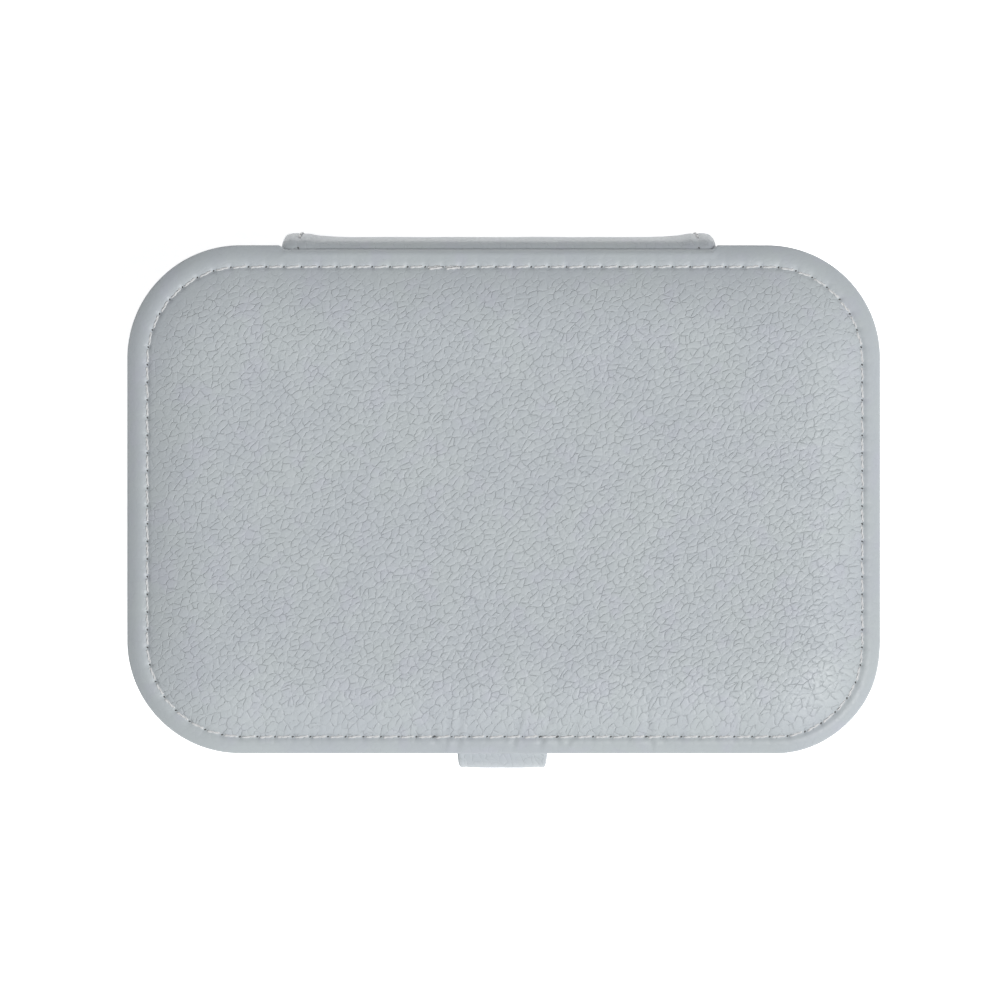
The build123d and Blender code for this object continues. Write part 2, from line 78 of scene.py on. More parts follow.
def quarter(count):
    """Angles spread over a quarter turn."""
    return np.radians(np.linspace(0, 90, count))


def unit(vector):
    return vector / np.linalg.norm(vector)


CORNER_R = 24.0
STITCH_IN = 4.2  # stitch line inside the outline
STITCH_COUNT = 125
THREAD_R = 0.18  # one of a thread's two strands

TOP_LOW, TOP_HIGH = node_box("lid_top_panel")
HALF_X, HALF_Y = TOP_HIGH[0], TOP_HIGH[1]
ROLL_Z = TOP_LOW[2]
ROLL_TOP_Z = node_box("lid_top_stitching")[0][2]
CROWN_Z = TOP_HIGH[2]
BAND_LOW, BAND_HIGH = node_box("lid_side_band")
LID_Z = BAND_LOW[2]
PROUD = HALF_X - BAND_HIGH[0]
BASE_Z = node_box("base_side_band")[1][2]
BOTTOM_Z = node_box("base_bottom_panel")[1][2]
HINGE = joint_place("lid_hinge")
TAB_HINGE = joint_place("tab_hinge")


# ---- materials ----
class Nodes:
    """Short names for building one material's node tree."""

    def __init__(self, name):
        self.material = bpy.data.materials.new(name)
        self.material.use_nodes = True
        self.tree = self.material.node_tree
        self.shader = self.tree.nodes["Principled BSDF"]

    def put(self, value, socket):
        """Links a socket to another one, or gives it a plain value."""
        if isinstance(value, bpy.types.NodeSocket):
            self.tree.links.new(value, socket)
        else:
            socket.default_value = value

    def add(self, kind, inputs=(), **settings):
        node = self.tree.nodes.new(kind)
        for key, value in settings.items():
            setattr(node, key, value)
        for key, value in dict(inputs).items():
            self.put(value, node.inputs[key])
        return node

    def math(self, operation, a, b=0.0, c=0.0):
        return self.add("ShaderNodeMath", {0: a, 1: b, 2: c}, operation=operation).outputs[0]

    def vector(self, operation, a, b, c=(0, 0, 0)):
        return self.add("ShaderNodeVectorMath", {0: a, 1: b, 2: c}, operation=operation).outputs[0]

    def ramp(self, value, low, high, to_low=0.0, to_high=1.0):
        """A smooth step of value between low and high."""
        inputs = {"Value": value, "From Min": low, "From Max": high, "To Min": to_low, "To Max": to_high}
        node = self.add("ShaderNodeMapRange", inputs, interpolation_type="SMOOTHSTEP")
        return node.outputs["Result"]

    def mix(self, factor, a, b):
        return self.add("ShaderNodeMix", {0: factor, 6: a, 7: b}, data_type="RGBA").outputs[2]

    def noise(self, vector, scale, detail=3.0, roughness=0.5, key="Fac"):
        inputs = {"Vector": vector, "Scale": scale, "Detail": detail, "Roughness": roughness}
        return self.add("ShaderNodeTexNoise", inputs).outputs[key]

    def cells(self, vector, scale, feature, key):
        inputs = {"Vector": vector, "Scale": scale, "Randomness": 0.88}
        settings = {"voronoi_dimensions": "2D", "feature": feature}
        return self.add("ShaderNodeTexVoronoi", inputs, **settings).outputs[key]

    def mapping(self, vector, scale, turn=0.0, kind="POINT"):
        inputs = {"Vector": vector, "Scale": scale, "Rotation": (0, 0, turn)}
        return self.add("ShaderNodeMapping", inputs, vector_type=kind).outputs[0]

    def attribute(self, name):
        return self.add("ShaderNodeAttribute", attribute_name=name).outputs["Fac"]

    def uv(self):
        """The piece's own cloth coordinates, in millimetres."""
        return self.add("ShaderNodeUVMap", uv_map="cloth").outputs[0]

    def place(self):
        """The place on the piece at rest, in millimetres."""
        where = self.add("ShaderNodeTexCoord").outputs["Object"]
        return self.mapping(where, (1 / MM, 1 / MM, 1 / MM))

    def bump(self, height, distance, strength=1.0):
        inputs = {"Height": height, "Distance": distance * MM, "Strength": strength}
        return self.add("ShaderNodeBump", inputs).outputs[0]

    def finish(self, **sockets):
        for key, value in sockets.items():
            self.put(value, self.shader.inputs[key.replace("_", " ")])
        return self.material


def grey(level, blue=0.0):
    return (level * (1 - blue), level, level * (1 + blue), 1.0)


def toned(colour, tone):
    return tuple(level * tone for level in colour) + (1.0,)


# Greys of the hide: two that drift over it, a violet one, raised cells, painted shade for the rolled border,
# painted shade for the creases.
HIDE, HIDE_GREEN, HIDE_VIOLET = (0.398, 0.428, 0.455), (0.41, 0.444, 0.458), (0.41, 0.425, 0.478)
HIDE_RAISED, HIDE_BORDER_SHADE, HIDE_CREASE_SHADE = (0.47, 0.5, 0.52), (0.22, 0.24, 0.25), (0.2, 0.215, 0.225)
CREASE_WIDE = 0.1  # as a share of a cell
PEBBLE_WIDE = 0.4  # over which a pebble rounds off to its edge


def leather_cells(n, uv, stretch, turn, cell):
    """Cells drawn out along a diagonal: the distance from their edges at two sizes, and a level for each."""
    drift = n.noise(uv, 0.3, 3.0, 0.6, key="Color")
    bent = n.vector("SUBTRACT", drift, (0.5, 0.5, 0.5))
    moved = n.vector("MULTIPLY_ADD", bent, (1.8, 1.8, 0), uv)
    laid = n.mapping(moved, (cell * stretch, cell, 1), turn, "TEXTURE")
    edge = n.cells(laid, 1.0, "DISTANCE_TO_EDGE", "Distance")
    fine = n.cells(laid, 2.1, "DISTANCE_TO_EDGE", "Distance")
    level = n.add("ShaderNodeSeparateColor", {0: n.cells(laid, 1.0, "F1", "Color")}).outputs[0]
    return edge, fine, level


def leather_height(n, uv, edge, level, crease, faint, kept):
    """Height of the pebbles and their creases, as far as the grain is kept, and of the finest roughness."""
    pebble = n.math("MULTIPLY", n.ramp(edge, 0.0, PEBBLE_WIDE), 0.36)
    high = n.math("MULTIPLY_ADD", level, 0.13, pebble)
    high = n.math("SUBTRACT", high, crease)
    high = n.math("SUBTRACT", high, n.math("MULTIPLY", faint, 0.45))
    high = n.math("MULTIPLY_ADD", n.noise(uv, 2.2, 3.0, 0.6), 0.45, high)
    high = n.math("MULTIPLY", high, kept)
    return n.math("MULTIPLY_ADD", n.noise(uv, 6.0, 3.0, 0.7), 0.1, high)


def leather_colour(n, uv, tone, raised, shade):
    """The hide's greys, lighter on raised cells, with painted shade on the rolled border and painted shade in the
    creases.
    """
    body = n.mix(n.ramp(n.noise(uv, 0.05, 3.0, 0.6), 0.35, 0.65), toned(HIDE, tone), toned(HIDE_GREEN, tone))
    patches = n.ramp(n.noise(uv, 0.16, 2.0), 0.5, 0.7, 0.0, 0.5)
    body = n.mix(patches, body, toned(HIDE_VIOLET, tone))
    body = n.mix(raised, body, toned(HIDE_RAISED, tone))
    # painted shade: the rolled border (the rim attribute) is darkened in colour
    body = n.mix(n.math("MULTIPLY", n.attribute("rim"), 0.12), body, toned(HIDE_BORDER_SHADE, tone))
    # painted shade: the creases are darkened in colour
    return n.mix(n.math("MULTIPLY", shade, 0.22), body, toned(HIDE_CREASE_SHADE, tone))


def leather(name, tone=1.0, grain=1.0, stretch=1.55, turn=0.7, cell=1.3):
    """Pebbled leather: small cells parted by fine broken creases. The grain fades where the piece's polish
    attribute rises to 1."""
    n = Nodes(name)
    uv = n.uv()
    edge, fine, level = leather_cells(n, uv, stretch, turn, cell)
    broken = n.ramp(n.noise(uv, 0.6, 3.0, 0.65), 0.4, 0.59, 0.14, 1.0)
    crease = n.math("MULTIPLY", n.ramp(edge, 0.0, CREASE_WIDE, 1.0, 0.0), broken)
    sparse = n.ramp(n.noise(uv, 0.8, 2.0), 0.47, 0.6, 0.0, 0.7)
    faint = n.math("MULTIPLY", n.ramp(fine, 0.0, CREASE_WIDE, 1.0, 0.0), sparse)
    kept = n.math("MULTIPLY", n.ramp(n.attribute("polish"), 0.0, 1.0, 1.0, 0.12), grain)
    high = leather_height(n, uv, edge, level, crease, faint, kept)
    # painted shade in the creases and fine creases, as far as the grain is kept
    shade = n.math("MULTIPLY", n.math("MULTIPLY_ADD", faint, 0.5, crease), kept)
    raised = n.math("MULTIPLY", n.math("MULTIPLY", level, 0.3), kept)
    colour = leather_colour(n, uv, tone, raised, shade)
    rough = n.ramp(n.noise(uv, 1.6, 3.0), 0.3, 0.7, 0.33, 0.49)
    return n.finish(Base_Color=colour, Roughness=rough, Normal=n.bump(high, 0.08), Specular_IOR_Level=0.2)


def thread(name, tone=0.62):
    """Spun polyester: a soft sheen and fine fibres."""
    n = Nodes(name)
    fibre = n.noise(n.place(), 9.0, 3.0, 0.6)
    colour = n.mix(fibre, grey(tone * 0.82, 0.01), grey(tone, 0.01))
    return n.finish(Base_Color=colour, Roughness=0.6, Normal=n.bump(fibre, 0.03, 0.7), Sheen_Weight=0.3,
                    Sheen_Roughness=0.5)


def velvet(name, tone=0.46):
    """Short pile: brushed lighter and darker in soft patches."""
    n = Nodes(name)
    place = n.place()
    brushed = n.ramp(n.noise(place, 0.09, 4.0, 0.65), 0.38, 0.64)
    pile = n.noise(place, 2.6, 4.0, 0.8)
    colour = n.mix(brushed, grey(tone * 0.84, 0.03), grey(tone, 0.03))
    colour = n.mix(n.ramp(pile, 0.35, 0.65, 0.32, 0.0), colour, grey(tone * 0.5, 0.03))
    return n.finish(Base_Color=colour, Roughness=0.92, Normal=n.bump(pile, 0.2, 0.7), Sheen_Weight=0.5,
                    Sheen_Roughness=0.35, Specular_IOR_Level=0.15)


def ribbed(name, pitch, tone):
    """Woven elastic: fine ribs with a cross weave."""
    n = Nodes(name)
    uv = n.uv()
    waves = {"Vector": uv, "Scale": math.pi / (10 * pitch), "Distortion": 0.4, "Detail": 1.0}
    ribs = n.add("ShaderNodeTexWave", waves, bands_direction="X").outputs["Fac"]
    waves = {"Vector": uv, "Scale": math.pi / (7 * pitch), "Distortion": 0.3}
    cross = n.add("ShaderNodeTexWave", waves, bands_direction="Y").outputs["Fac"]
    high = n.math("MULTIPLY_ADD", cross, 0.5, ribs)
    colour = n.mix(n.ramp(high, 0.2, 1.2), grey(tone * 0.6, 0.03), grey(tone, 0.03))
    return n.finish(Base_Color=colour, Roughness=0.8, Normal=n.bump(high, 0.12, 0.8), Sheen_Weight=0.3)


def plated(name):
    """Nickel plate with faint polishing marks."""
    n = Nodes(name)
    marks = n.noise(n.mapping(n.place(), (1.0, 1.0, 4.0)), 1.1, 3.0, 0.6)
    rough = n.ramp(marks, 0.3, 0.75, 0.2, 0.34)
    return n.finish(Base_Color=grey(0.52), Metallic=1.0, Roughness=rough, Normal=n.bump(marks, 0.02, 0.12))


def board(name):
    """Grey board with fibres and flecks."""
    n = Nodes(name)
    fleck = n.ramp(n.noise(n.place(), 1.8, 4.0, 0.7), 0.42, 0.62)
    colour = n.mix(fleck, (0.36, 0.33, 0.29, 1), (0.5, 0.47, 0.43, 1))
    return n.finish(Base_Color=colour, Roughness=0.9, Normal=n.bump(fleck, 0.05, 0.6))


def foam(name):
    """Open-cell foam."""
    n = Nodes(name)
    cells = n.add("ShaderNodeTexVoronoi", {"Vector": n.place(), "Scale": 1.6}, feature="F1")
    cells = cells.outputs["Distance"]
    colour = n.mix(n.ramp(cells, 0.1, 0.7), (0.84, 0.83, 0.78, 1), (0.6, 0.59, 0.55, 1))
    return n.finish(Base_Color=colour, Roughness=0.95, Normal=n.bump(cells, 0.3, 0.8))


def hole_shade(name):
    """Near-black painted shade for the inside of a needle hole."""
    n = Nodes(name)
    soft = n.noise(n.place(), 6.0, 2.0)
    return n.finish(Base_Color=n.mix(soft, grey(0.05), grey(0.1)), Roughness=0.8)


LEATHER = leather("leather_pebbled")
LEATHER_BAND = leather("leather_band", tone=0.97, grain=0.8, stretch=1.3, turn=0.3)
LEATHER_STRAP = leather("leather_strap", tone=0.9, grain=0.42, stretch=1.2, turn=0.5, cell=1.4)
LEATHER_TAB = leather("leather_tab", tone=1.0, grain=0.6, stretch=1.4, turn=0.9, cell=1.3)
LEATHER_SMALL = leather("leather_small", tone=0.95, grain=0.55, cell=1.2)
THREAD = thread("thread_grey")
VELVET = velvet("velvet_grey")
VELVET_ROLL = velvet("velvet_roll", tone=0.5)
POCKET_CLOTH = velvet("pocket_cloth", tone=0.5)
ELASTIC = ribbed("elastic_woven", 0.5, 0.5)
METAL = plated("nickel_plate")
BOARD = board("grey_board")
FOAM = foam("foam_pad")
HOLE_SHADE = hole_shade("needle_hole_shade")


# ---- mesh helpers ----
def make(name, points, faces, material, uv=None):
    """A mesh object from points in millimetres; uv holds one pair for each face corner."""
    mesh = bpy.data.meshes.new(name)
    mesh.from_pydata((np.asarray(points, float) * MM).tolist(), [], faces)
    layer = mesh.uv_layers.new(name="cloth")
    uv = np.zeros((len(layer.data), 2)) if uv is None else uv
    layer.data.foreach_set("uv", np.asarray(uv, np.float32).ravel())
    form = bmesh.new()
    form.from_mesh(mesh)
    bmesh.ops.recalc_face_normals(form, faces=form.faces)
    form.to_mesh(mesh)
    form.free()
    mesh.polygons.foreach_set("use_smooth", [True] * len(mesh.polygons))
    mesh.materials.append(material)
    piece = bpy.data.objects.new(name, mesh)
    bpy.context.scene.collection.objects.link(piece)
    return piece


def quads(rows, columns, first=0, closed=True):
    """Faces between rows of points, numbered from first. Rows are loops when closed."""
    faces = []
    for row in range(rows - 1):
        here = first + row * columns
        for k in range(columns if closed else columns - 1):
            step = (k + 1) % columns
            faces.append((here + k, here + step, here + columns + step, here + columns + k))
    return faces


def tube(rows, sides, first):
    """Faces of a tube of loops, capped at both ends."""
    ends = [tuple(range(start, start + sides)) for start in (first, first + (rows - 1) * sides)]
    return quads(rows, sides, first) + ends


def unrolled(loops, wrap):
    """Cloth coordinates of loops of points: distance round each loop, and from loop to loop."""
    closed = np.concatenate([loops, loops[:, :1]], axis=1)
    round_it = np.linalg.norm(np.diff(closed, axis=1), axis=2)
    u = np.concatenate([np.zeros((len(loops), 1)), np.cumsum(round_it, axis=1)], axis=1)
    rows = np.concatenate([loops, loops[:1]]) if wrap else loops
    steps = np.linalg.norm(np.diff(rows, axis=0), axis=2).mean(axis=1)
    v = np.concatenate([[0], np.cumsum(steps)])
    u = np.concatenate([u, u[:1]]) if wrap else u
    return np.stack([u, np.repeat(v[:, None], u.shape[1], axis=1)], axis=2)


def loops_piece(name, loops, material, uv=None, wrap=False, fan=True):
    """A closed piece through loops of points, shape (loops, points, 3). With wrap, the last loop joins the
    first; without it both ends are capped, by a fan or one face."""
    loops = np.asarray(loops, float)
    rows, count = loops.shape[:2]
    if uv is None:
        uv = unrolled(loops, wrap)
    points = loops.reshape(-1, 3)
    faces = [tuple(number % len(points) for number in face) for face in quads(rows + wrap, count)]
    corner = []
    for row in range(rows if wrap else rows - 1):
        for k in range(count):
            corner += [uv[row][k], uv[row][k + 1], uv[row + 1][k + 1], uv[row + 1][k]]
    for row in () if wrap else (0, rows - 1):
        first = row * count
        if not fan:
            faces.append(tuple(range(first, first + count)))
            corner += list(loops[row][:, :2] + loops[row][:, 2:])
            continue
        centre = len(points)
        points = np.vstack([points, loops[row].mean(axis=0)])
        middle = np.mean(uv[row][:count], axis=0)
        for k in range(count):
            faces.append((first + k, first + (k + 1) % count, centre))
            corner += [uv[row][k], uv[row][k + 1], middle]
    return make(name, points, faces, material, corner)


def mark(piece, name, values):
    """An attribute of the piece's points that its material reads, from 0 to 1."""
    layer = piece.data.attributes.new(name, "FLOAT", "POINT")
    whole = np.zeros(len(piece.data.vertices), np.float32)
    whole[:len(values)] = values
    layer.data.foreach_set("value", whole)


def fix(piece, body, slot, *nodes):
    """The piece rides on a body and stands for CAD nodes, which it hides. The slot is not used."""
    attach(piece, body)
    if nodes:
        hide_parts(*nodes)
    return piece


def bend(parts, body, other, start, end):
    """Bakes each piece's placement into its mesh; parts holds (piece, slot) pairs, and the slot is not used."""
    for part, slot in parts:
        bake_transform(part)
        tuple(start)
        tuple(end)


def smooth(x, low, high):
    t = np.clip((np.asarray(x, float) - low) / (high - low), 0, 1)
    return t * t * (3 - 2 * t)


def wobble(x, y, span):
    """A smooth irregular surface, about -1 to 1, whose waves are about span long."""
    k = 2 * math.pi / span
    waves = ((1.0, 0.31, 0.4, 0.34), (-0.47, 0.94, 2.1, 0.28), (0.72, -0.83, 4.4, 0.22),
             (1.37, 1.1, 5.2, 0.16))
    return sum(size * np.sin(k * (a * x + b * y) + shift) for a, b, shift, size in waves)


# ---- the case's plan ----
BAND_COUNT = 420  # points round the side bands and linings
LAST_RING = 15.0  # beyond this inset the loops of the plan shrink towards the middle
CORE_X, CORE_Y, SEAM_R = HALF_X - CORNER_R, HALF_Y - CORNER_R, CORNER_R - STITCH_IN
SEAM_ROUND = 4 * (CORE_X + CORE_Y) + 2 * math.pi * SEAM_R  # length of the stitch line


def plan_point(s):
    """The plan at a distance along the stitch line, from the middle of the front and running to the right
    first: its place on the rectangle of corner centres, and its outward normal."""
    arc = SEAM_R * math.pi / 2
    corners = ((CORE_X, -CORE_Y), (CORE_X, CORE_Y), (-CORE_X, CORE_Y), (-CORE_X, -CORE_Y))
    runs = (CORE_X, 2 * CORE_Y, 2 * CORE_X, 2 * CORE_Y, CORE_X)
    place = np.array([0.0, -CORE_Y])
    for side, run in enumerate(runs):
        heading = math.radians(90 * side)
        if s <= run or side == 4:
            return place + np.array([math.cos(heading), math.sin(heading)]) * s, heading - math.pi / 2
        s -= run
        place = np.array(corners[side])
        if s <= arc:
            return place, heading - math.pi / 2 + s / SEAM_R
        s -= arc


def plan(count, extra=()):
    """Points spaced evenly round the stitch line, with extra ones at given distances."""
    stops = sorted(list(SEAM_ROUND * np.arange(count) / count) + list(extra))
    found = [plan_point(s) for s in stops]
    core = np.array([place for place, angle in found])
    normal = np.array([(math.cos(angle), math.sin(angle)) for place, angle in found])
    return core, normal


def ring(where, inset, height):
    """A loop of the plan at an inset and a height."""
    core, normal = where
    flat = core + normal * (CORNER_R - min(inset, LAST_RING))
    flat = flat * min(1.0, (HALF_Y - inset) / (HALF_Y - LAST_RING))
    return np.column_stack([flat, np.full(len(flat), height)])


def band_piece(name, section, material, where, shape=None):
    """A closed band round the plan. section is a closed list of (inset, height) points."""
    loops = []
    for inset, height in section:
        loop = ring(where, inset, height)
        loops.append(shape(loop, inset) if shape else loop)
    return loops_piece(name, loops, material, wrap=True)


def rounded_section(inset_low, inset_high, z_low, z_high, radius, steps=4, side_steps=6):
    """A closed rounded-rectangle section."""
    corners = ((inset_low, z_low, 1, 1, 180), (inset_high, z_low, -1, 1, 270),
               (inset_high, z_high, -1, -1, 0), (inset_low, z_high, 1, -1, 90))
    arcs = []
    for x, z, side, up, start in corners:
        angles = np.radians(start + np.linspace(0, 90, steps + 1))
        arcs.append(np.column_stack([x + side * radius + radius * np.cos(angles),
                                     z + up * radius + radius * np.sin(angles)]))
    points = []
    for index, arc in enumerate(arcs):
        goal = arcs[(index + 1) % 4][0]
        points += list(arc)
        points += [arc[-1] + (goal - arc[-1]) * t for t in np.arange(1, side_steps) / side_steps]
    return points


# ---- stitches ----
STATIONS, PLY_SIDES, PLY_TWISTS = 14, 6, 1.1  # points along a stitch and round a strand, turns in a stitch
STITCH_DIVE = 0.45  # how deep a stitch's ends go into their holes
HOLE_ROWS, HOLE_SIDES = (-0.9, -0.35, 0.2, 0.55, 0.85), 12
HOLE_LONG, HOLE_WIDE, HOLE_DEEP = 0.42, 0.2, 0.14


def ply(line, turns, up, side):
    """Loops of points round one of a thread's two strands, wound about a line."""
    circle = 2 * math.pi * np.arange(PLY_SIDES) / PLY_SIDES
    points = []
    for middle, turn in zip(line, turns):
        axis = middle + (side * math.cos(turn) + up * math.sin(turn)) * THREAD_R * 0.6
        points += [axis + (side * math.cos(c) + up * math.sin(c)) * THREAD_R for c in circle]
    return points


def stitches(name, holes, ups, closed=False, slant=0.14, lift=0.06, reach=0.34):
    """Two-ply stitches from hole to hole. ups are the outward directions at the holes."""
    points, faces = [], []
    share = np.linspace(0, 1, STATIONS)
    for index in range(len(holes) if closed else len(holes) - 1):
        after = (index + 1) % len(holes)
        a, b = holes[index], holes[after]
        ahead = unit(b - a)
        up = ups[index] + ups[after]
        up = unit(up - ahead * (up @ ahead))
        side = np.cross(up, ahead)
        tilt = slant * (1 + 0.4 * math.sin(index * 2.4))
        start, stop = a + ahead * reach, b - ahead * reach * (1 + 0.25 * math.sin(index * 1.7))
        line = []
        for t in share:
            arch = math.sin(math.pi * t)
            rise = lift * min(1.0, 3.2 * arch ** 0.8) - STITCH_DIVE * (1 - arch) ** 6
            line.append(start + (stop - start) * t + side * tilt * (2 * t - 1) + up * rise)
        for strand in (0, math.pi):
            faces += tube(STATIONS, PLY_SIDES, len(points))
            points += ply(line, strand + 2 * math.pi * PLY_TWISTS * share + index, up, side)
    return make(name, points, faces, THREAD)


def needle_holes(name, holes, ups, closed, sink):
    """A near-black slit of painted shade at each hole, drawn a little across the seam, and longer at the front of
    a closed seam, where it also paints the lifted thread's shadow.
    """
    points, faces = [], []
    for index, (hole, up) in enumerate(zip(holes, ups)):
        at_end = not closed and index == len(holes) - 1
        ahead = unit(hole - holes[index - 1] if at_end else holes[(index + 1) % len(holes)] - hole)
        side = np.cross(up, ahead)
        turn = math.radians(28 + 10 * math.sin(index * 3.1))
        drawn = HOLE_LONG * (1 + 0.6 * closed * max(0.0, ahead[0]))
        along = ahead * math.cos(turn) + side * math.sin(turn)
        across = side * math.cos(turn) - ahead * math.sin(turn)
        faces += tube(len(HOLE_ROWS), HOLE_SIDES, len(points))
        for row in HOLE_ROWS:
            width = math.sqrt(1 - row * row)
            for angle in 2 * math.pi * np.arange(HOLE_SIDES) / HOLE_SIDES:
                out = along * drawn * math.cos(angle) + across * HOLE_WIDE * math.sin(angle)
                points.append(hole + out * width + up * (HOLE_DEEP * row - sink))
    return make(name, points, faces, HOLE_SHADE)


def seam(name, holes, ups, closed=False, sink=0.0, **looks):
    """Stitches, and slits of painted shade at their needle holes."""
    threads = stitches(f"{name}_thread", holes, ups, closed, **looks)
    return threads, needle_holes(f"{name}_holes", holes, ups, closed, sink)


def sew(name, body, holes, ups, *nodes, **looks):
    """A seam that rides on one body and stands for CAD nodes."""
    threads, marks = seam(name, holes, ups, **looks)
    fix(threads, body, "thread", *nodes)
    fix(marks, body, "leather")


# ---- padded top ----
TOP_SHIFT = np.array([0.2, 0.5])  # the stitched panel sits a little to the right and to the front
CROWN_RUN = 16.0
CROWN_POWER = 2.5
ROLL_WIDE = 2.9  # how far in the rolled edge begins to turn down
ROLL_BEND = 1.4  # where its slope stops growing
ROLL_SLOPE = 0.57
EDGE_TURN = 0.35  # width of its turned edge
WRINKLES = ((-14.5, 0.9), (-12.2, 0.6), (-9.6, 0.8), (2.5, 0.6), (8.4, 0.7), (11.0, 0.9), (14.2, 0.7),
            (31.0, 0.6))
STRETCH = 4.0  # how far the grain is pulled towards the front and right edges
STRAP_LOW, STRAP_HIGH = node_box("hinge_strap_lower")
STRAP_X = (STRAP_LOW[0] + STRAP_HIGH[0]) / 2
STRAP_HALF = (STRAP_HIGH[0] - STRAP_LOW[0]) / 2
STRAP_PRESS = 0.85  # how deep the strap's end presses the rolled edge in
BACKTACK_X = -11.0  # where the seam's two ends overlap, at the back
FULL_CORNER = np.array([0.66, -0.75])  # towards the front right corner
FULLER = 0.5  # how much further that corner stands out than the others
TOP_COUNT = 8 * STITCH_COUNT
TOP_PLAN = plan(TOP_COUNT)


def crown_height(inset):
    """Height of the padded area a given distance inside the outline."""
    t = np.clip((np.asarray(inset, float) - STITCH_IN - 0.15) / CROWN_RUN, 0, 1)
    return (CROWN_Z - ROLL_TOP_Z - 0.1) * (1 - (1 - t) ** CROWN_POWER)


def roll_height(inset):
    """Height of the rolled border: it slopes down evenly to its edge, and turns over there."""
    bend = np.clip(ROLL_WIDE - inset, 0, ROLL_WIDE - ROLL_BEND)
    drop = ROLL_SLOPE * (bend ** 2 / (2 * (ROLL_WIDE - ROLL_BEND)) + max(0.0, ROLL_BEND - inset))
    whole = ROLL_SLOPE * (ROLL_WIDE + ROLL_BEND) / 2
    edge = np.clip(1 - inset / EDGE_TURN, 0, 1)
    return ROLL_TOP_Z - drop - ((ROLL_TOP_Z - ROLL_Z) / 2 - whole) * (1 - math.sqrt(1 - edge ** 2))


def full_corner(normal, inset):
    """Shift that rounds one corner less than the others."""
    toward = smooth(normal @ FULL_CORNER, 0.7, 1.0)
    return normal * (FULLER * toward * (1 - smooth(inset, 5.0, 14.0)))[:, None]


def place_top_loop(loop, inset):
    """Shift of the stitched panel, the fuller corner and the dent behind the strap."""
    normal = TOP_PLAN[1]
    loop[:, :2] += TOP_SHIFT * (1, -1) * smooth(inset, 0.5, STITCH_IN) + full_corner(normal, inset)
    back = smooth(normal[:, 1], 0.9, 0.999)
    strap = smooth(STRAP_HALF + 0.4 - np.abs(loop[:, 0] - STRAP_X), 0.0, 1.2) * back
    loop[:, 1] -= STRAP_PRESS * strap * (1 - smooth(inset, 0.3, 2.2))
    middle = (ROLL_TOP_Z + ROLL_Z) / 2
    below_top = np.clip(ROLL_TOP_Z - loop[:, 2], 0, None)
    loop[:, 2] += 0.85 * strap * np.clip(loop[:, 2] - middle, 0, 1) * below_top


def pucker_top_loop(loop, inset):
    """Stitch dimples, front wrinkles and the unevenness of the padding."""
    normal = TOP_PLAN[1]
    x, y = loop[:, 0], loop[:, 1]
    every = TOP_COUNT // STITCH_COUNT
    phase = (np.arange(TOP_COUNT) % every) / every
    near_hole = np.exp(-(np.minimum(phase, 1 - phase) / 0.12) ** 2)
    valley = np.exp(-((inset - STITCH_IN) / 0.55) ** 2)
    swell = np.exp(-((inset - STITCH_IN - 1.5) / 1.0) ** 2) + np.exp(-((inset - STITCH_IN + 1.2) / 0.7) ** 2)
    loop[:, 2] -= valley * (0.13 + 0.27 * near_hole) + 0.06 * swell * near_hole
    front = smooth(-normal[:, 1], 0.9, 0.999)
    reach = smooth(inset, 0.2, 1.5) * (1 - smooth(inset, 5.0, 12.0))
    for centre, width in WRINKLES:
        away = x - centre - 0.35 * (inset - STITCH_IN) * math.sin(centre)
        fold = np.exp(-(away / width) ** 2) - 0.5 * np.exp(-((away - 1.1) / width) ** 2)
        loop[:, 2] -= 0.14 * fold * front * reach
    soft = smooth(inset, STITCH_IN + 1, STITCH_IN + 12)
    loop[:, 2] += (0.1 * wobble(x, y, 46) + 0.06 * wobble(y, x, 17)) * soft
    loop[:, 2] += 0.05 * wobble(x, y, 11) * np.exp(-((inset - 2.6) / 1.4) ** 2)


def top_section():
    """(inset, height) pairs from the middle of the underside, round the edge and over the top. Where the
    height is None, the padding gives it."""
    half = (ROLL_TOP_Z - ROLL_Z) / 2
    under = [(inset, ROLL_Z) for inset in (30.0, 16.0, 5.4, 3.4, 2.4)]
    under += [(1.5 * (1 - math.cos(a)), ROLL_Z + half * (1 - math.sin(a))) for a in quarter(7)[::-1]]
    over = [ROLL_WIDE * (1 - math.cos(math.radians(15 * step))) for step in range(1, 7)]
    over += [3.2, 3.5, 3.75, 3.95, 4.1, 4.2, 4.3, 4.45, 4.65, 4.9, 5.2, 5.6, 6.1, 6.7, 7.4, 8.2, 9.1, 10.1]
    over += list(np.linspace(11.2, LAST_RING, 4)) + list(np.linspace(17.5, HALF_Y - 1.2, 15))
    return under + [(inset, None) for inset in over]


def top_loop(inset, z):
    """One loop of the top, shaped by the padding if it has no height yet."""
    padded = z is None
    if padded:
        z = roll_height(inset) + (crown_height(inset) if inset > STITCH_IN else 0)
    loop = ring(TOP_PLAN, inset, z)
    place_top_loop(loop, inset)
    if padded:
        pucker_top_loop(loop, inset)
    return loop


def facing(x, y):
    """How far each point of the plan faces a direction, from 0 to 1."""
    return np.clip(TOP_PLAN[1] @ np.array([x, y]), 0, 1)


def top_cloth(loop, inset, outside):
    """Cloth coordinates of a loop: flat on top, unrolled at the edge, and pulled to the front and right."""
    under = ROLL_WIDE * 0.6 + (ROLL_TOP_Z - ROLL_Z) / 2 + inset
    rolled = max(0.0, ROLL_WIDE - inset) * 0.35 if outside else under
    pull = STRETCH * (1 - min(1.0, inset / LAST_RING)) ** 2 * facing(0.6, -0.8)
    flat = loop[:, :2] + TOP_PLAN[1] * (rolled - pull)[:, None]
    return np.vstack([flat, flat[:1]])


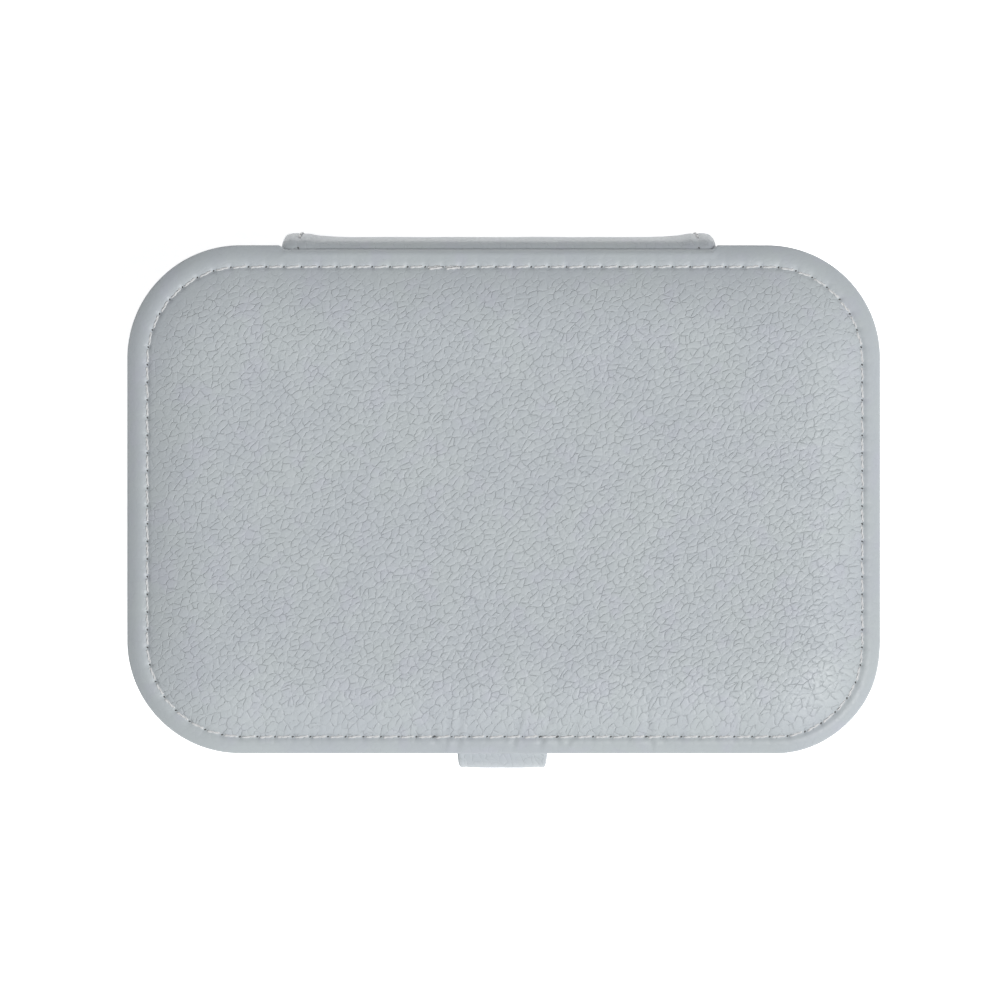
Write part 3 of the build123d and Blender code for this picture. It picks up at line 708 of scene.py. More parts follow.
def lid_top():
    """The leather top, a closed form: rolled edge, stitched valley and crowned padding. It is polished on
    its border, and where the leather is drawn tight behind and at the left."""
    loops, uv, polish, rim = [], [], [], []
    for inset, z in top_section():
        loops.append(top_loop(inset, z))
        uv.append(top_cloth(loops[-1], inset, z is None))
        border = 1 - smooth(inset, STITCH_IN - 0.6, STITCH_IN + 0.1)
        drawn = 1 - smooth(inset, STITCH_IN, STITCH_IN + 6.5)
        polish.append(np.maximum(0.82 * border, drawn * (0.12 + 0.75 * facing(-0.6, 0.8))))
        # rim: the border, which the leather's colour darkens with painted shade
        rim.append(np.full(TOP_COUNT, border))
    piece = loops_piece("lid_top", loops, LEATHER, uv)
    mark(piece, "polish", np.concatenate(polish))
    mark(piece, "rim", np.concatenate(rim))
    fix(piece, "lid", "leather", "lid_top_panel")


def border_holes(z, up):
    """Needle holes round the border."""
    where = plan(STITCH_COUNT)
    holes = ring(where, STITCH_IN, z)
    holes[:, :2] += TOP_SHIFT * (1, -1)
    if up > 0:
        holes[:, :2] += full_corner(where[1], STITCH_IN)
    return list(holes), [np.array([0, 0, up])] * STITCH_COUNT


def lid_seam():
    """The seam round the top, doubled at the back where its two ends overlap."""
    holes, ups = border_holes(ROLL_TOP_Z - 0.2, 1.0)
    sew("lid_seam", "lid", holes, ups, "lid_top_stitching", closed=True, sink=0.22)
    start = int(np.argmin([np.hypot(hole[0] - BACKTACK_X, hole[1] - HALF_Y) for hole in holes]))
    again = [hole + np.array([0.25, -0.3, 0.2]) for hole in holes[start:start + 3]]
    fix(stitches("lid_seam_backtack", again, ups[:3], lift=0.2), "lid", "thread")


# ---- side bands and bottom ----
def side_band(name, node, body, z_root, z_rim, flange_in):
    """Leather round the wall, from its root over the rim, turned in as far as flange_in."""
    outer, skin, soft = PROUD, 1.0, 0.45
    up = 1 if z_rim > z_root else -1
    section = [(outer + 0.05, z_root), (outer, z_root + up * 1.2)]
    section += [(outer, z_root + (z_rim - z_root) * share) for share in (0.2, 0.4, 0.6, 0.8)]
    section += [(outer + soft * (1 - math.cos(a)), z_rim - up * soft * (1 - math.sin(a)))
                for a in quarter(5)]
    flat = flange_in - outer - 2 * soft
    section += [(outer + soft + flat * share, z_rim) for share in (0.25, 0.5, 0.75)]
    section += [(flange_in - soft + soft * math.sin(a), z_rim - up * soft * (1 - math.cos(a)))
                for a in quarter(5)]
    section += [(flange_in, z_rim - up * skin), (outer + skin, z_rim - up * skin), (outer + skin, z_root)]
    where = plan(BAND_COUNT)

    def uneven(loop, inset):
        if inset < outer + 0.2:
            loop[:, :2] += where[1] * (0.05 * wobble(loop[:, 0] + loop[:, 1], loop[:, 2] * 2, 23))[:, None]
        return loop

    fix(band_piece(name, section, LEATHER_BAND, where, uneven), body, "leather", node)


def base_bottom():
    """The panel that the case rests on: leather rolled round its edge, with a groove for the stitches."""
    half = BOTTOM_Z / 2
    section = [(12.0, BOTTOM_Z - 0.02), (3.0, BOTTOM_Z - 0.02)]
    section += [(half * (1 - math.cos(a)), half + half * math.sin(a) * 0.99)
                for a in np.radians(np.linspace(90, -90, 9))]
    section += [(2.0, 0.0), (3.2, 0.02), (3.7, 0.25), (4.2, 0.5), (4.7, 0.25), (5.3, 0.02), (7.0, 0.0),
                (11.0, 0.0), (14.0, 0.0), (30.0, 0.0), (HALF_Y - 4, 0.0)]
    where = plan(4 * STITCH_COUNT)
    loops = [ring(where, inset, height) for inset, height in section]
    uv = []
    for row, loop in enumerate(loops):
        flat = loop[:, :2] + where[1] * (1.5 if row < 6 else 0)
        uv.append(np.vstack([flat, flat[:1]]))
    fix(loops_piece("base_bottom", loops, LEATHER_BAND, uv), "base", "leather", "base_bottom_panel")
    holes, ups = border_holes(0.45, -1.0)
    sew("base_seam", "base", holes, ups, "base_bottom_stitching", closed=True, sink=-0.05, lift=0.0)


# ---- straps: a section carried along a path ----
def strap_section(half, thickness, edge, points=12, face_points=24):
    """A closed strap section: places across it, and depths from 0 at its inner face to its thickness."""
    run = np.linspace(-half + edge, half - edge, face_points + 1)
    right = np.radians(np.linspace(90, -90, points + 1))[1:-1]
    left = np.radians(np.linspace(270, 90, points + 1))[1:-1]
    middle = thickness / 2
    across = [run, half - edge + edge * np.cos(right), run[::-1], -half + edge + edge * np.cos(left)]
    depth = [np.full(len(run), thickness), middle + middle * np.sin(right),
             np.zeros(len(run)), middle + middle * np.sin(left)]
    return np.concatenate(across), np.concatenate(depth)


def strap_loops(path, out, x, sections):
    """Loops of a strap that runs in the Y-Z plane, with a section for each point of its path."""
    return [np.column_stack([x + across, place[0] + away[0] * depth, place[1] + away[1] * depth])
            for place, away, (across, depth) in zip(path, out, sections)]


def path_out(path, turn):
    """Unit vectors square to a path of (y, z) points, to its left or right, and the distance along it."""
    path = np.asarray(path, float)
    ahead = np.gradient(path, axis=0)
    ahead /= np.linalg.norm(ahead, axis=1)[:, None]
    length = np.concatenate([[0], np.cumsum(np.linalg.norm(np.diff(path, axis=0), axis=1))])
    return path, np.column_stack([-ahead[:, 1], ahead[:, 0]]) * turn, length


BACK_Y = BAND_HIGH[1]
STRAP_T = 1.4
STRAP_BOW = 2.28  # how far it stands off the wall at the hinge
BEND_LOW_Z, BEND_HIGH_Z = 24.0, 34.5  # its path is finer between these, where it bends
HEM_W, HEM_T = 6.5, 0.22
HEM_STITCH = 3.6  # from its end to the stitches
HINGE_BLEND = 4.0  # how far below and above the hinge the end points given to bend lie


def hinge_stand(z):
    """How far the strap's inner face stands off the back wall."""
    reach = ROLL_Z - HINGE[2] if z > HINGE[2] else HINGE[2] - BOTTOM_Z
    return STRAP_BOW * max(0.0, 1 - ((z - HINGE[2]) / reach) ** 2)


def hinge_tuck(z):
    """How far the strap has gone under the lid's rolled edge, from 0 to 1."""
    return smooth(z, ROLL_Z - 1.2, ROLL_Z + 1.3)


def hinge_path():
    """Points (y, z) up the strap's inner face, and the directions away from the wall."""
    heights = np.concatenate([np.linspace(BOTTOM_Z + 0.1, BEND_LOW_Z, 12, endpoint=False),
                              np.linspace(BEND_LOW_Z, BEND_HIGH_Z, 26, endpoint=False),
                              np.linspace(BEND_HIGH_Z, ROLL_Z - 0.4, 12)])
    path = [(BACK_Y + hinge_stand(z), z) for z in heights]
    path += [(BACK_Y - 0.15, ROLL_Z + 0.1), (BACK_Y - 0.55, ROLL_Z + 0.45), (BACK_Y - 1.0, ROLL_Z + 0.7)]
    return path_out(path, -1)[:2]


def hinge_section(z):
    """The strap's section at a height: its hemmed ends curl outwards, and it thins where it tucks in."""
    tuck = hinge_tuck(z)
    thickness = STRAP_T * (1 - 0.35 * tuck)
    across, depth = strap_section(STRAP_HALF, thickness, 0.7, 8, 96)
    from_end = STRAP_HALF - np.abs(across)
    outside = depth > thickness * 0.5
    bow = hinge_stand(z) / STRAP_BOW
    hem = 1 - smooth(from_end, HEM_W - 0.7, HEM_W + 0.3)
    stitch = np.exp(-((from_end - HEM_STITCH) / 0.5) ** 2)
    curl = 1 - smooth(from_end, 1.0, 14.0)
    depth = depth + outside * (HEM_T - 0.16 * stitch) * hem * (1 - 0.6 * tuck)
    depth = depth + 0.75 * curl * bow - 0.6 * np.clip(1 - from_end / 2.2, 0, 1) ** 2 * outside
    return across, depth + 0.05 * wobble(across, np.full(len(across), z), 15) * bow


def hinge_seam(name, side, path, out):
    """The stitch column near one end of the strap."""
    x = STRAP_X + side * (STRAP_HALF - HEM_STITCH)
    holes, ups = [], []
    for z in np.arange(ROLL_Z + 0.4, BOTTOM_Z + 1.0, -3.3)[::-1]:
        row = int(np.argmin(np.abs(path[:, 1] - z)))
        y, away = path[row][0], out[row]
        lift = (STRAP_T + HEM_T - 0.12) * (1 - 0.3 * hinge_tuck(z))
        lift += 0.68 * hinge_stand(z) / STRAP_BOW
        holes.append(np.array([x, y + away[0] * lift, z + away[1] * lift]))
        ups.append(np.array([0, away[0], away[1]]))
    return seam(name, holes, ups, sink=0.1, slant=0.06, lift=0.1)


def hinge_strap():
    """One leather strap from under the lid's rolled edge to under the base's, hemmed at both ends."""
    path, out = hinge_path()
    loops = strap_loops(path, out, STRAP_X, [hinge_section(z) for y, z in path])
    piece = loops_piece("hinge_strap", loops, LEATHER_STRAP)
    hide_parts("hinge_strap_lower", "hinge_strap_fold", "hinge_strap_upper")
    parts = [(piece, "leather")]
    for side, name in ((-1, "left"), (1, "right")):
        threads, marks = hinge_seam(f"hinge_strap_seam_{name}", side, path, out)
        parts += [(threads, "thread"), (marks, "leather")]
        if side < 0:
            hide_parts("strap_stitching_lower", "strap_stitching_upper")
    low_end = (0, HINGE[1] * MM, (HINGE[2] - HINGE_BLEND) * MM)
    high_end = (0, HINGE[1] * MM, (HINGE[2] + HINGE_BLEND) * MM)
    bend(parts, "base", "lid", low_end, high_end)


TAB_END_R = 8.0
TAB_STITCH_IN = 1.8
TAB_EDGE = 0.45  # its long edges are rounded over this width


def tab_path(inner, top_z, low_z):
    """The middle of the tab's inner face: from under the rolled edge, over the bend and down the front."""
    radius = inner - BACK_Y
    path = [(BACK_Y - 0.8, top_z + radius + 0.15), (BACK_Y - 0.4, top_z + radius + 0.1)]
    for angle in np.radians(np.linspace(90, 0, 13)):
        path.append((BACK_Y + radius * math.cos(angle), top_z + radius * math.sin(angle)))
    path += [(inner, z) for z in np.linspace(top_z, low_z, 46)[1:]]
    return path_out([(-y, z) for y, z in path], -1)


def tab_section(gone, to_end, half, thickness):
    """The tab's section: narrow at its root, grooved by its stitches, round at its end."""
    wide = half + 0.1 - 0.6 * smooth(gone, 0.0, 7.0)
    if to_end < TAB_END_R:
        wide -= TAB_END_R - math.sqrt(max(0.0, TAB_END_R ** 2 - (TAB_END_R - to_end) ** 2))
    across, depth = strap_section(wide, thickness, TAB_EDGE, 12, 30)
    from_side = wide - np.abs(across)
    parting = np.exp(-((depth - thickness / 2) / 0.18) ** 2) * (1 - np.clip(from_side / TAB_EDGE, 0, 1))
    outside = depth > thickness * 0.6
    inside = np.minimum(from_side, to_end + 0.2)
    groove = np.exp(-((inside - TAB_STITCH_IN) / 0.4) ** 2)
    depth = depth + outside * (0.08 * smooth(inside, 2.2, 5.5) - 0.12 * groove - 0.1)
    depth = depth - 0.12 * outside * (1 - smooth(from_side, 0.0, 1.0))
    return across - np.sign(across) * 0.22 * parting, depth


def tab_stitch_line(half, top_z, low_z):
    """Places of the tab's needle holes: down one side, round the end and up the other."""
    run, radius = half - TAB_STITCH_IN, TAB_END_R - TAB_STITCH_IN
    turn_z = low_z + TAB_END_R
    sides = np.linspace(top_z - 3.5, turn_z, 9)
    line = [(-run, z) for z in sides]
    for a in np.radians(np.linspace(180, 360, 8)[1:-1]):
        across = math.copysign(run - radius, math.cos(a)) + radius * math.cos(a)
        line.append((across, turn_z + radius * math.sin(a)))
    return line + [(run, z) for z in sides[::-1]]


def closure_tab():
    """The tab: two layers of leather, glued and stitched round."""
    low, high = node_box("closure_tab_outer")
    x, half = span("closure_tab_outer", 0)
    inner = -node_box("closure_tab_lining")[1][1]
    thickness = -low[1] - inner
    path, out, length = tab_path(inner, high[2], low[2])
    sections = [tab_section(gone, length[-1] - gone, half, thickness) for gone in length]
    piece = loops_piece("closure_tab_leather", strap_loops(path, out, x, sections), LEATHER_TAB)
    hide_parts("closure_tab_outer", "closure_tab_lining", "closure_tab_bend")
    face = -inner - thickness + 0.08
    holes = [np.array([x + a, face, z]) for a, z in tab_stitch_line(half - 0.5, high[2], low[2])]
    ups = [np.array([0, -1.0, 0])] * len(holes)
    threads, marks = seam("closure_tab_seam", holes, ups, slant=0.06, lift=0.1)
    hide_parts("closure_tab_stitching")
    start = (0, (TAB_HINGE[1] + 2.1) * MM, (TAB_HINGE[2] + 1.6) * MM)
    end = (0, (TAB_HINGE[1] - 1.4) * MM, (TAB_HINGE[2] - 2.3) * MM)
    bend([(piece, "leather"), (threads, "thread"), (marks, "leather")], "lid", "closure_tab", start, end)


# ---- turned metal ----
def turned(name, profile, origin, axis, body, node, sides=48):
    """A turned piece from (radius, along) pairs, closed at the axis at both ends."""
    axis = np.array(axis, float)
    side = unit(np.cross(axis, (1.0, 0, 0)))
    other = np.cross(axis, side)
    angles = 2 * math.pi * np.arange(sides) / sides
    out = np.outer(np.cos(angles), side) + np.outer(np.sin(angles), other)
    loops = [np.array(origin) + out * max(radius, 0.02) + axis * along for radius, along in profile]
    return fix(loops_piece(name, loops, METAL), body, "snap_metal", node)


def cap_profile(radius, height):
    """A domed cap with a rolled rim."""
    shape = ((0, 0), (0.9, 0), (0.985, 0.1), (1, 0.28), (0.975, 0.5), (0.9, 0.66), (0.82, 0.7), (0.78, 0.68),
             (0.7, 0.76), (0.5, 0.9), (0.25, 0.98), (0, 1))
    return [(radius * r, height * h) for r, h in shape]


def socket_profile(radius, depth, bore):
    """A socket: a flange and a raised collar round a bore."""
    flange = ((0, 0), (0.92, 0), (1, 0.15), (1, 0.45), (0.9, 0.6), (0.72, 0.62), (0.66, 0.95), (0.6, 1))
    return [(radius * r, depth * d) for r, d in flange] + [
        (bore + 0.25, depth), (bore, depth * 0.85), (bore, depth * 0.3), (bore * 0.9, depth * 0.15), (0, 0.12)]


def stud_profile(radius, flange, height, post):
    """A stud: a flange and a post with a rounded, slightly wider head."""
    base = [(0, 0), (radius * 0.95, 0), (radius, flange * 0.25), (radius * 0.97, flange * 0.6),
            (radius * 0.8, flange * 0.94), (post * 1.25, flange), (post * 0.9, flange * 1.2)]
    return base + [(post * 0.85, height * 0.6), (post * 0.98, height * 0.78), (post, height * 0.85),
                   (post * 0.8, height * 0.97), (0, height)]


def press_stud():
    """Cap and socket on the tab, stud on the base."""
    x, radius = span("snap_cap", 0)
    z = span("snap_cap", 2)[0]
    face = node_box("closure_tab_outer")[0][1]
    cap = cap_profile(radius, face - node_box("snap_cap")[0][1])
    turned("snap_cap_dome", cap, (x, face, z), (0, -1, 0), "closure_tab", "snap_cap")
    low, high = node_box("snap_socket")
    socket = socket_profile((high[0] - low[0]) / 2, high[1] - low[1], 2.2)
    turned("snap_socket_ring", socket, (x, low[1], z), (0, 1, 0), "closure_tab", "snap_socket")
    low, high = node_box("snap_stud")
    stud = stud_profile((high[0] - low[0]) / 2, 0.8, high[1] - low[1], 2.0)
    turned("snap_stud_post", stud, (x, high[1], z), (0, -1, 0), "base", "snap_stud")


# ---- linings, pads and dividers ----
LINING_LOW, LINING_HIGH = node_box("base_lining")
COLLAR_IN = HALF_X - node_box("base_collar")[1][0]
LINED_IN = COLLAR_IN + 2.0
NOTCH_HALF = 1.15
NOTCH_UP = 9.7  # from a loose divider's foot to the bottom of its notches
NOTCH_Z = node_box("divider_left")[0][2] + NOTCH_UP


def notch_stops(place):
    """Positions just either side of both edges of a notch."""
    return [place + side * (NOTCH_HALF + gap) for side in (-1, 1) for gap in (-0.01, 0.01)]


def lower(z, z_low, z_high, share_z):
    """Heights squeezed down so that z_high comes to share_z."""
    return z_low + (z - z_low) * (share_z - z_low) / (z_high - z_low)


LOOSE_X = span("divider_right", 0)[0]


def base_lining():
    """Velvet up the inside of the collar and over its top, notched at the front for the loose dividers."""
    z_low, z_high, skin = LINING_LOW[2] + 0.1, LINING_HIGH[2], 0.55
    outer = COLLAR_IN - 0.12
    arc = quarter(6)
    section = [(LINED_IN, z) for z in np.linspace(z_low, z_high - skin - 0.6, 9)]
    section += [(LINED_IN - skin * (1 - math.cos(a)), z_high - skin * (1 - math.sin(a))) for a in arc]
    section += [(outer + skin * (1 - math.sin(a)), z_high - skin * (1 - math.cos(a))) for a in arc]
    section += [(outer, BASE_Z - 0.6), (COLLAR_IN - 0.01, BASE_Z - 0.6), (COLLAR_IN - 0.01, z_high - skin),
                (LINED_IN - 0.6, z_high - skin), (LINED_IN - 0.6, z_low)]
    stops = [s % SEAM_ROUND for x in (LOOSE_X, -LOOSE_X) for s in notch_stops(x)]
    where = plan(BAND_COUNT, stops)
    middle = ring(where, LINED_IN, 0)
    cut = (np.abs(np.abs(middle[:, 0]) - LOOSE_X) < NOTCH_HALF) & (middle[:, 1] < 0)

    def notched(loop, inset):
        loop[:, :2] += where[1] * (0.04 * wobble(loop[:, 0] + loop[:, 1], loop[:, 2], 19))[:, None]
        loop[cut, 2] = lower(loop[cut, 2], z_low, z_high, NOTCH_Z)
        return loop

    fix(band_piece("base_velvet_lining", section, VELVET, where, notched), "base", "velvet", "base_lining")


def lid_lining():
    """Velvet round the inside of the lid."""
    low, high = node_box("lid_lining")
    inset = HALF_X - high[0]
    section = rounded_section(inset, inset + 0.5, low[2], high[2], 0.2, 4, 7)
    where = plan(BAND_COUNT)

    def uneven(loop, inset):
        loop[:, :2] -= where[1] * (0.04 + 0.04 * wobble(loop[:, 0] + loop[:, 1], loop[:, 2], 17))[:, None]
        return loop

    fix(band_piece("lid_velvet_lining", section, VELVET, where, uneven), "lid", "velvet", "lid_lining")


def plan_pad(name, node, body, face_up, edge):
    """A velvet-covered pad over the plan, flat at its back, with a soft rolled edge to its face."""
    low, high = node_box(node)
    inset = HALF_X - high[0]
    back, face = (low[2], high[2]) if face_up else (high[2], low[2])
    up = 1 if face_up else -1
    thick = high[2] - low[2]
    section = [(30.0, back), (inset + 3, back), (inset + 0.3, back), (inset + 0.05, back + up * 0.2)]
    soft_from = len(section) + 1
    section += [(inset + edge * (1 - math.cos(a)), face - up * (thick - 0.4) * (1 - math.sin(a)))
                for a in quarter(8)]
    section += [(inset + step, face) for step in (3.5, 5.0, 7.0)]
    section += [(here, face) for here in np.linspace(LAST_RING, HALF_Y - 2, 16)]
    where = plan(300)
    loops = [ring(where, here, z) for here, z in section]
    for loop in loops[soft_from:]:
        loop[:, 2] -= up * (0.06 + 0.06 * wobble(loop[:, 0], loop[:, 1], 24))
    piece = loops_piece(name, loops, VELVET)
    fix(piece, body, "velvet", node)


def long_board(name, node, axis, edge, notches=()):
    """A velvet-covered board that runs along X (0) or Y (1), with soft edges and notches in its top."""
    low, high = node_box(node)
    middle, half = span(node, 1 - axis)
    rounding = [(edge * (1 - math.cos(a)), edge * (1 - math.sin(a))) for a in quarter(5)]
    inner = list(np.arange(low[axis] + 2.5, high[axis] - 2, 2.5))
    stops = [(low[axis] + gone, drop) for gone, drop in rounding]
    stops += [(s, 0.0) for s in sorted(inner + [s for n in notches for s in notch_stops(n)])]
    stops += [(high[axis] - gone, drop) for gone, drop in rounding[::-1]]
    box = np.array(rounded_section(low[1 - axis], high[1 - axis], low[2], high[2], edge, 4, 5))
    loops = []
    for stop, drop in stops:
        z = box[:, 1]
        if any(abs(stop - n) < NOTCH_HALF for n in notches):
            z = lower(z, low[2], high[2], NOTCH_Z)
        flat = middle + (box[:, 0] - middle) * (half - drop * 0.8) / half
        flat = flat + 0.04 * wobble(np.full(len(z), stop), z, 21)
        loop = np.column_stack([np.full(len(z), stop), flat, z])
        loops.append(loop if axis == 0 else loop[:, (1, 0, 2)])
    fix(loops_piece(name, loops, VELVET), "base", "velvet", node)


ROLL_END = 1.4  # length over which a ring roll rounds off at each end


def roll_section(radius, low_z, high_z):
    """Half-width and height round a roll: a flat foot, straight sides and a round top."""
    top = high_z - radius
    foot = [(radius - 1.6, low_z), (radius - 0.6, low_z + 0.3)]
    side = foot + [(radius, z) for z in np.linspace(low_z + 1.0, top, 8, endpoint=False)]
    dome = [(radius * math.cos(a), top + radius * math.sin(a)) for a in np.radians(np.linspace(0, 180, 25))]
    return np.array([(0, low_z)] + side + dome + [(-a, z) for a, z in side[::-1]])


def ring_roll(index):
    """A foam roll covered in velvet: straight sides pressed against the next, and a round top."""
    node = f"ring_roll_{index}"
    low, high = node_box(node)
    middle, radius = span(node, 1)
    section = roll_section(radius, low[2], high[2])
    stops = [low[0] + ROLL_END * (1 - math.cos(a)) for a in quarter(7)]
    stops += list(np.linspace(low[0] + ROLL_END + 1.5, high[0] - ROLL_END - 1.5, 60))
    stops += [high[0] - ROLL_END * (1 - math.cos(a)) for a in quarter(7)[::-1]]
    loops = []
    for x in stops:
        near = min(1.0, min(x - low[0], high[0] - x) / ROLL_END)
        draw = 1 - 0.28 * (1 - math.sqrt(1 - (1 - near) ** 2))
        y, z = section[:, 0] * draw, low[2] + (section[:, 1] - low[2]) * (0.35 + 0.65 * draw)
        pull = 0.16 * wobble(np.full(len(z), x + 31 * index), z * 0.6, 33)
        pull = pull + 0.05 * math.sin(x * 0.9 + index * 2)
        y = y * (1 + 0.02 * np.sin(x * 0.31 + index)) - np.sign(y) * 0.06
        z = z + np.where(z > low[2] + 2, pull - 0.12, 0)
        y = middle + np.clip(y, -radius - 0.04, radius + 0.04)
        loops.append(np.column_stack([np.full(len(z), x), y, z]))
    piece = loops_piece(f"{node}_velvet", loops, VELVET_ROLL)
    fix(piece, "base", "velvet_foam", node)


def rounded_outline(corners, radius, steps=5):
    """A closed outline with each right-angled corner rounded, and its outward normals. corners run
    counter-clockwise."""
    points, normals = [], []
    corners = [np.array(c, float) for c in corners]
    for index, corner in enumerate(corners):
        before, after = unit(corner - corners[index - 1]), unit(corners[(index + 1) % len(corners)] - corner)
        hollow = before[0] * after[1] - before[1] * after[0] < 0
        centre = corner + (after - before) * radius
        first = np.array([before[1], -before[0]])
        last = np.array([after[1], -after[0]])
        for t in np.radians(np.linspace(0, 90, steps)):
            normal = first * math.cos(t) + last * math.sin(t)
            points.append(centre + normal * radius * (-1 if hollow else 1))
            normals.append(normal)
    return np.array(points), np.array(normals)


def plate(name, corners, radius, low, high, edge, material, place):
    """A flat piece with an outline, rounded over at both faces. place turns (a, b) pairs and a height into
    (x, y, z)."""
    outline, normals = rounded_outline(corners, radius)
    loops = []
    for start, sign in ((low, -1), (high, 1)):
        turn = [(edge * (1 - math.cos(a)), start - sign * edge * (1 - math.sin(a))) for a in quarter(6)]
        loops += [place(outline - normals * inset, height) for inset, height in turn[::sign]]
    return loops_piece(name, loops, material, fan=False)


def loose_divider(side):
    """A velvet-covered divider with an ear at the top of each end."""
    node = f"divider_{side}"
    low, high = node_box(node)
    ear, ear_z = 2.0, high[2] - 11.2
    corners = [(low[1] + ear, low[2]), (high[1] - ear, low[2]), (high[1] - ear, ear_z), (high[1], ear_z),
               (high[1], high[2]), (low[1], high[2]), (low[1], ear_z), (low[1] + ear, ear_z)]

    def place(flat, x):
        bow = 0.05 * wobble(flat[:, 0], flat[:, 1], 26)
        return np.column_stack([x + bow, flat[:, 0], flat[:, 1]])

    piece = plate(f"{node}_velvet", corners, 0.9, low[0], high[0], 0.7, VELVET, place)
    fix(piece, f"divider_{side}_body", "velvet", node)


# ---- lid fittings ----
def flat_place(flat, z):
    return np.column_stack([flat, np.full(len(flat), z)])


STRAP_EDGE = 1.2  # from a necklace strap's edge to its groove
ROOT_STITCH = 1.6  # from its root, and from its sides, to the stitches


def necklace_holder():
    """A leather strip stitched to the lid's lining, with three straps that close on press studs."""
    low, high = node_box("necklace_backing_strip")
    strip_low = high[2] - 0.8
    corners = [(low[0], low[1]), (high[0], low[1]), (high[0], high[1]), (low[0], high[1])]
    strip = plate("necklace_strip", corners, 3.5, strip_low, high[2], 0.3, LEATHER_SMALL, flat_place)
    fix(strip, "lid", "leather", "necklace_backing_strip")
    for row, y in (("front", low[1] + 1.1), ("back", high[1] - 1.1)):
        holes = [np.array([x, y, strip_low - 0.03]) for x in np.linspace(low[0] + 3.5, high[0] - 3.5, 40)]
        sew_under(f"necklace_strip_seam_{row}", holes)
    for index in (1, 2, 3):
        necklace_strap(index, low[1], strip_low)
        necklace_snap(index)


def sew_under(name, holes):
    """Small stitches on the lid's side that faces down."""
    sew(name, "lid", holes, [np.array([0, 0, -1.0])] * len(holes), lift=0.1, slant=0.05)


def necklace_path(root_y, strip_z, strap_z, end_y):
    """Points (y, z) along a necklace strap's upper face: flat on the strip, down off it, and level again."""
    drop = strip_z - strap_z - 0.05
    path = [(root_y + 0.4, strip_z), (root_y + 1.2, strip_z), (root_y + 2.0, strip_z - 0.05)]
    path += [(root_y + 2.0 + 1.4 * t, strip_z - 0.05 - drop * t * t * (3 - 2 * t)) for t in (0.3, 0.6, 0.85)]
    path += [(y, strap_z) for y in np.linspace(root_y + 3.5, root_y + 6, 14, endpoint=False)]
    return path_out(path + [(y, strap_z) for y in np.linspace(root_y + 6, end_y, 30)], -1)


def necklace_section(to_end, half, thickness):
    """A necklace strap's section, grooved near its edge and round at its end."""
    wide = half
    if to_end < half:
        wide = max(0.5, math.sqrt(max(0.0, half ** 2 - (half - to_end) ** 2)))
    across, depth = strap_section(wide, thickness, min(0.4, wide * 0.8), 8, 24)
    inside = np.minimum(wide - np.abs(across), to_end)
    outside = depth > thickness * 0.6
    groove = np.exp(-((inside - STRAP_EDGE) / 0.3) ** 2)
    return across, depth - 0.08 * groove * outside - 0.12 * outside * (1 - smooth(inside, 0, 1.0))


def necklace_strap(index, root_y, strip_z):
    """A strap sewn to the strip at its root, which swings down when its press stud is opened."""
    node = f"necklace_strap_{index}"
    low, high = node_box(node)
    x, half = span(node, 0)
    thickness = high[2] - low[2]
    path, out, length = necklace_path(root_y, strip_z, high[2], high[1])
    sections = [necklace_section(length[-1] - gone, half, thickness) for gone in length]
    piece = loops_piece(f"{node}_leather", strap_loops(path, out, x, sections), LEATHER_SMALL)
    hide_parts(node)
    axis = joint_place(f"{node}_swing")
    start = (axis[0] * MM, (axis[1] - 0.5) * MM, axis[2] * MM)
    end = (axis[0] * MM, (axis[1] + 1.2) * MM, axis[2] * MM)
    bend([(piece, "leather")], "lid", f"{node}_body", start, end)
    places = np.linspace(ROOT_STITCH - half, half - ROOT_STITCH, 4)
    z = strip_z - thickness - 0.03
    sew_under(f"{node}_root_seam", [np.array([x + a, root_y + ROOT_STITCH, z]) for a in places])


def necklace_snap(index):
    """The cap on a necklace strap's end, and the stud that it closes on."""
    cap, stud = f"necklace_snap_{index}", f"necklace_stud_{index}"
    x = span(f"necklace_strap_{index}", 0)[0]
    radius = span(cap, 0)[1]
    y = span(cap, 1)[0]
    strap_low = node_box(f"necklace_strap_{index}")[0][2]
    shape = cap_profile(radius, strap_low - node_box(cap)[0][2])
    body = f"necklace_strap_{index}_body"
    turned(f"necklace_cap_{index}", shape, (x, y, strap_low), (0, 0, -1), body, cap)
    low, high = node_box(stud)
    shape = stud_profile(radius, 0.6, high[2] - low[2], 1.4)
    turned(f"{stud}_turned", shape, (x, y, high[2]), (0, 0, -1), "lid", stud)


POCKET_LOW, POCKET_HIGH = node_box("pocket_panel")
ELASTIC_LOW, ELASTIC_HIGH = node_box("pocket_elastic")
POCKET_R = 12.0
POCKET_GAP = 0.25  # between the pocket's cloth and the ceiling pad


def pocket_half(y):
    """Half the pocket's width at y, round its back corners."""
    into = max(0.0, y - (POCKET_HIGH[1] - POCKET_R))
    return POCKET_HIGH[0] - POCKET_R + math.sqrt(POCKET_R ** 2 - min(into, POCKET_R - 0.01) ** 2)


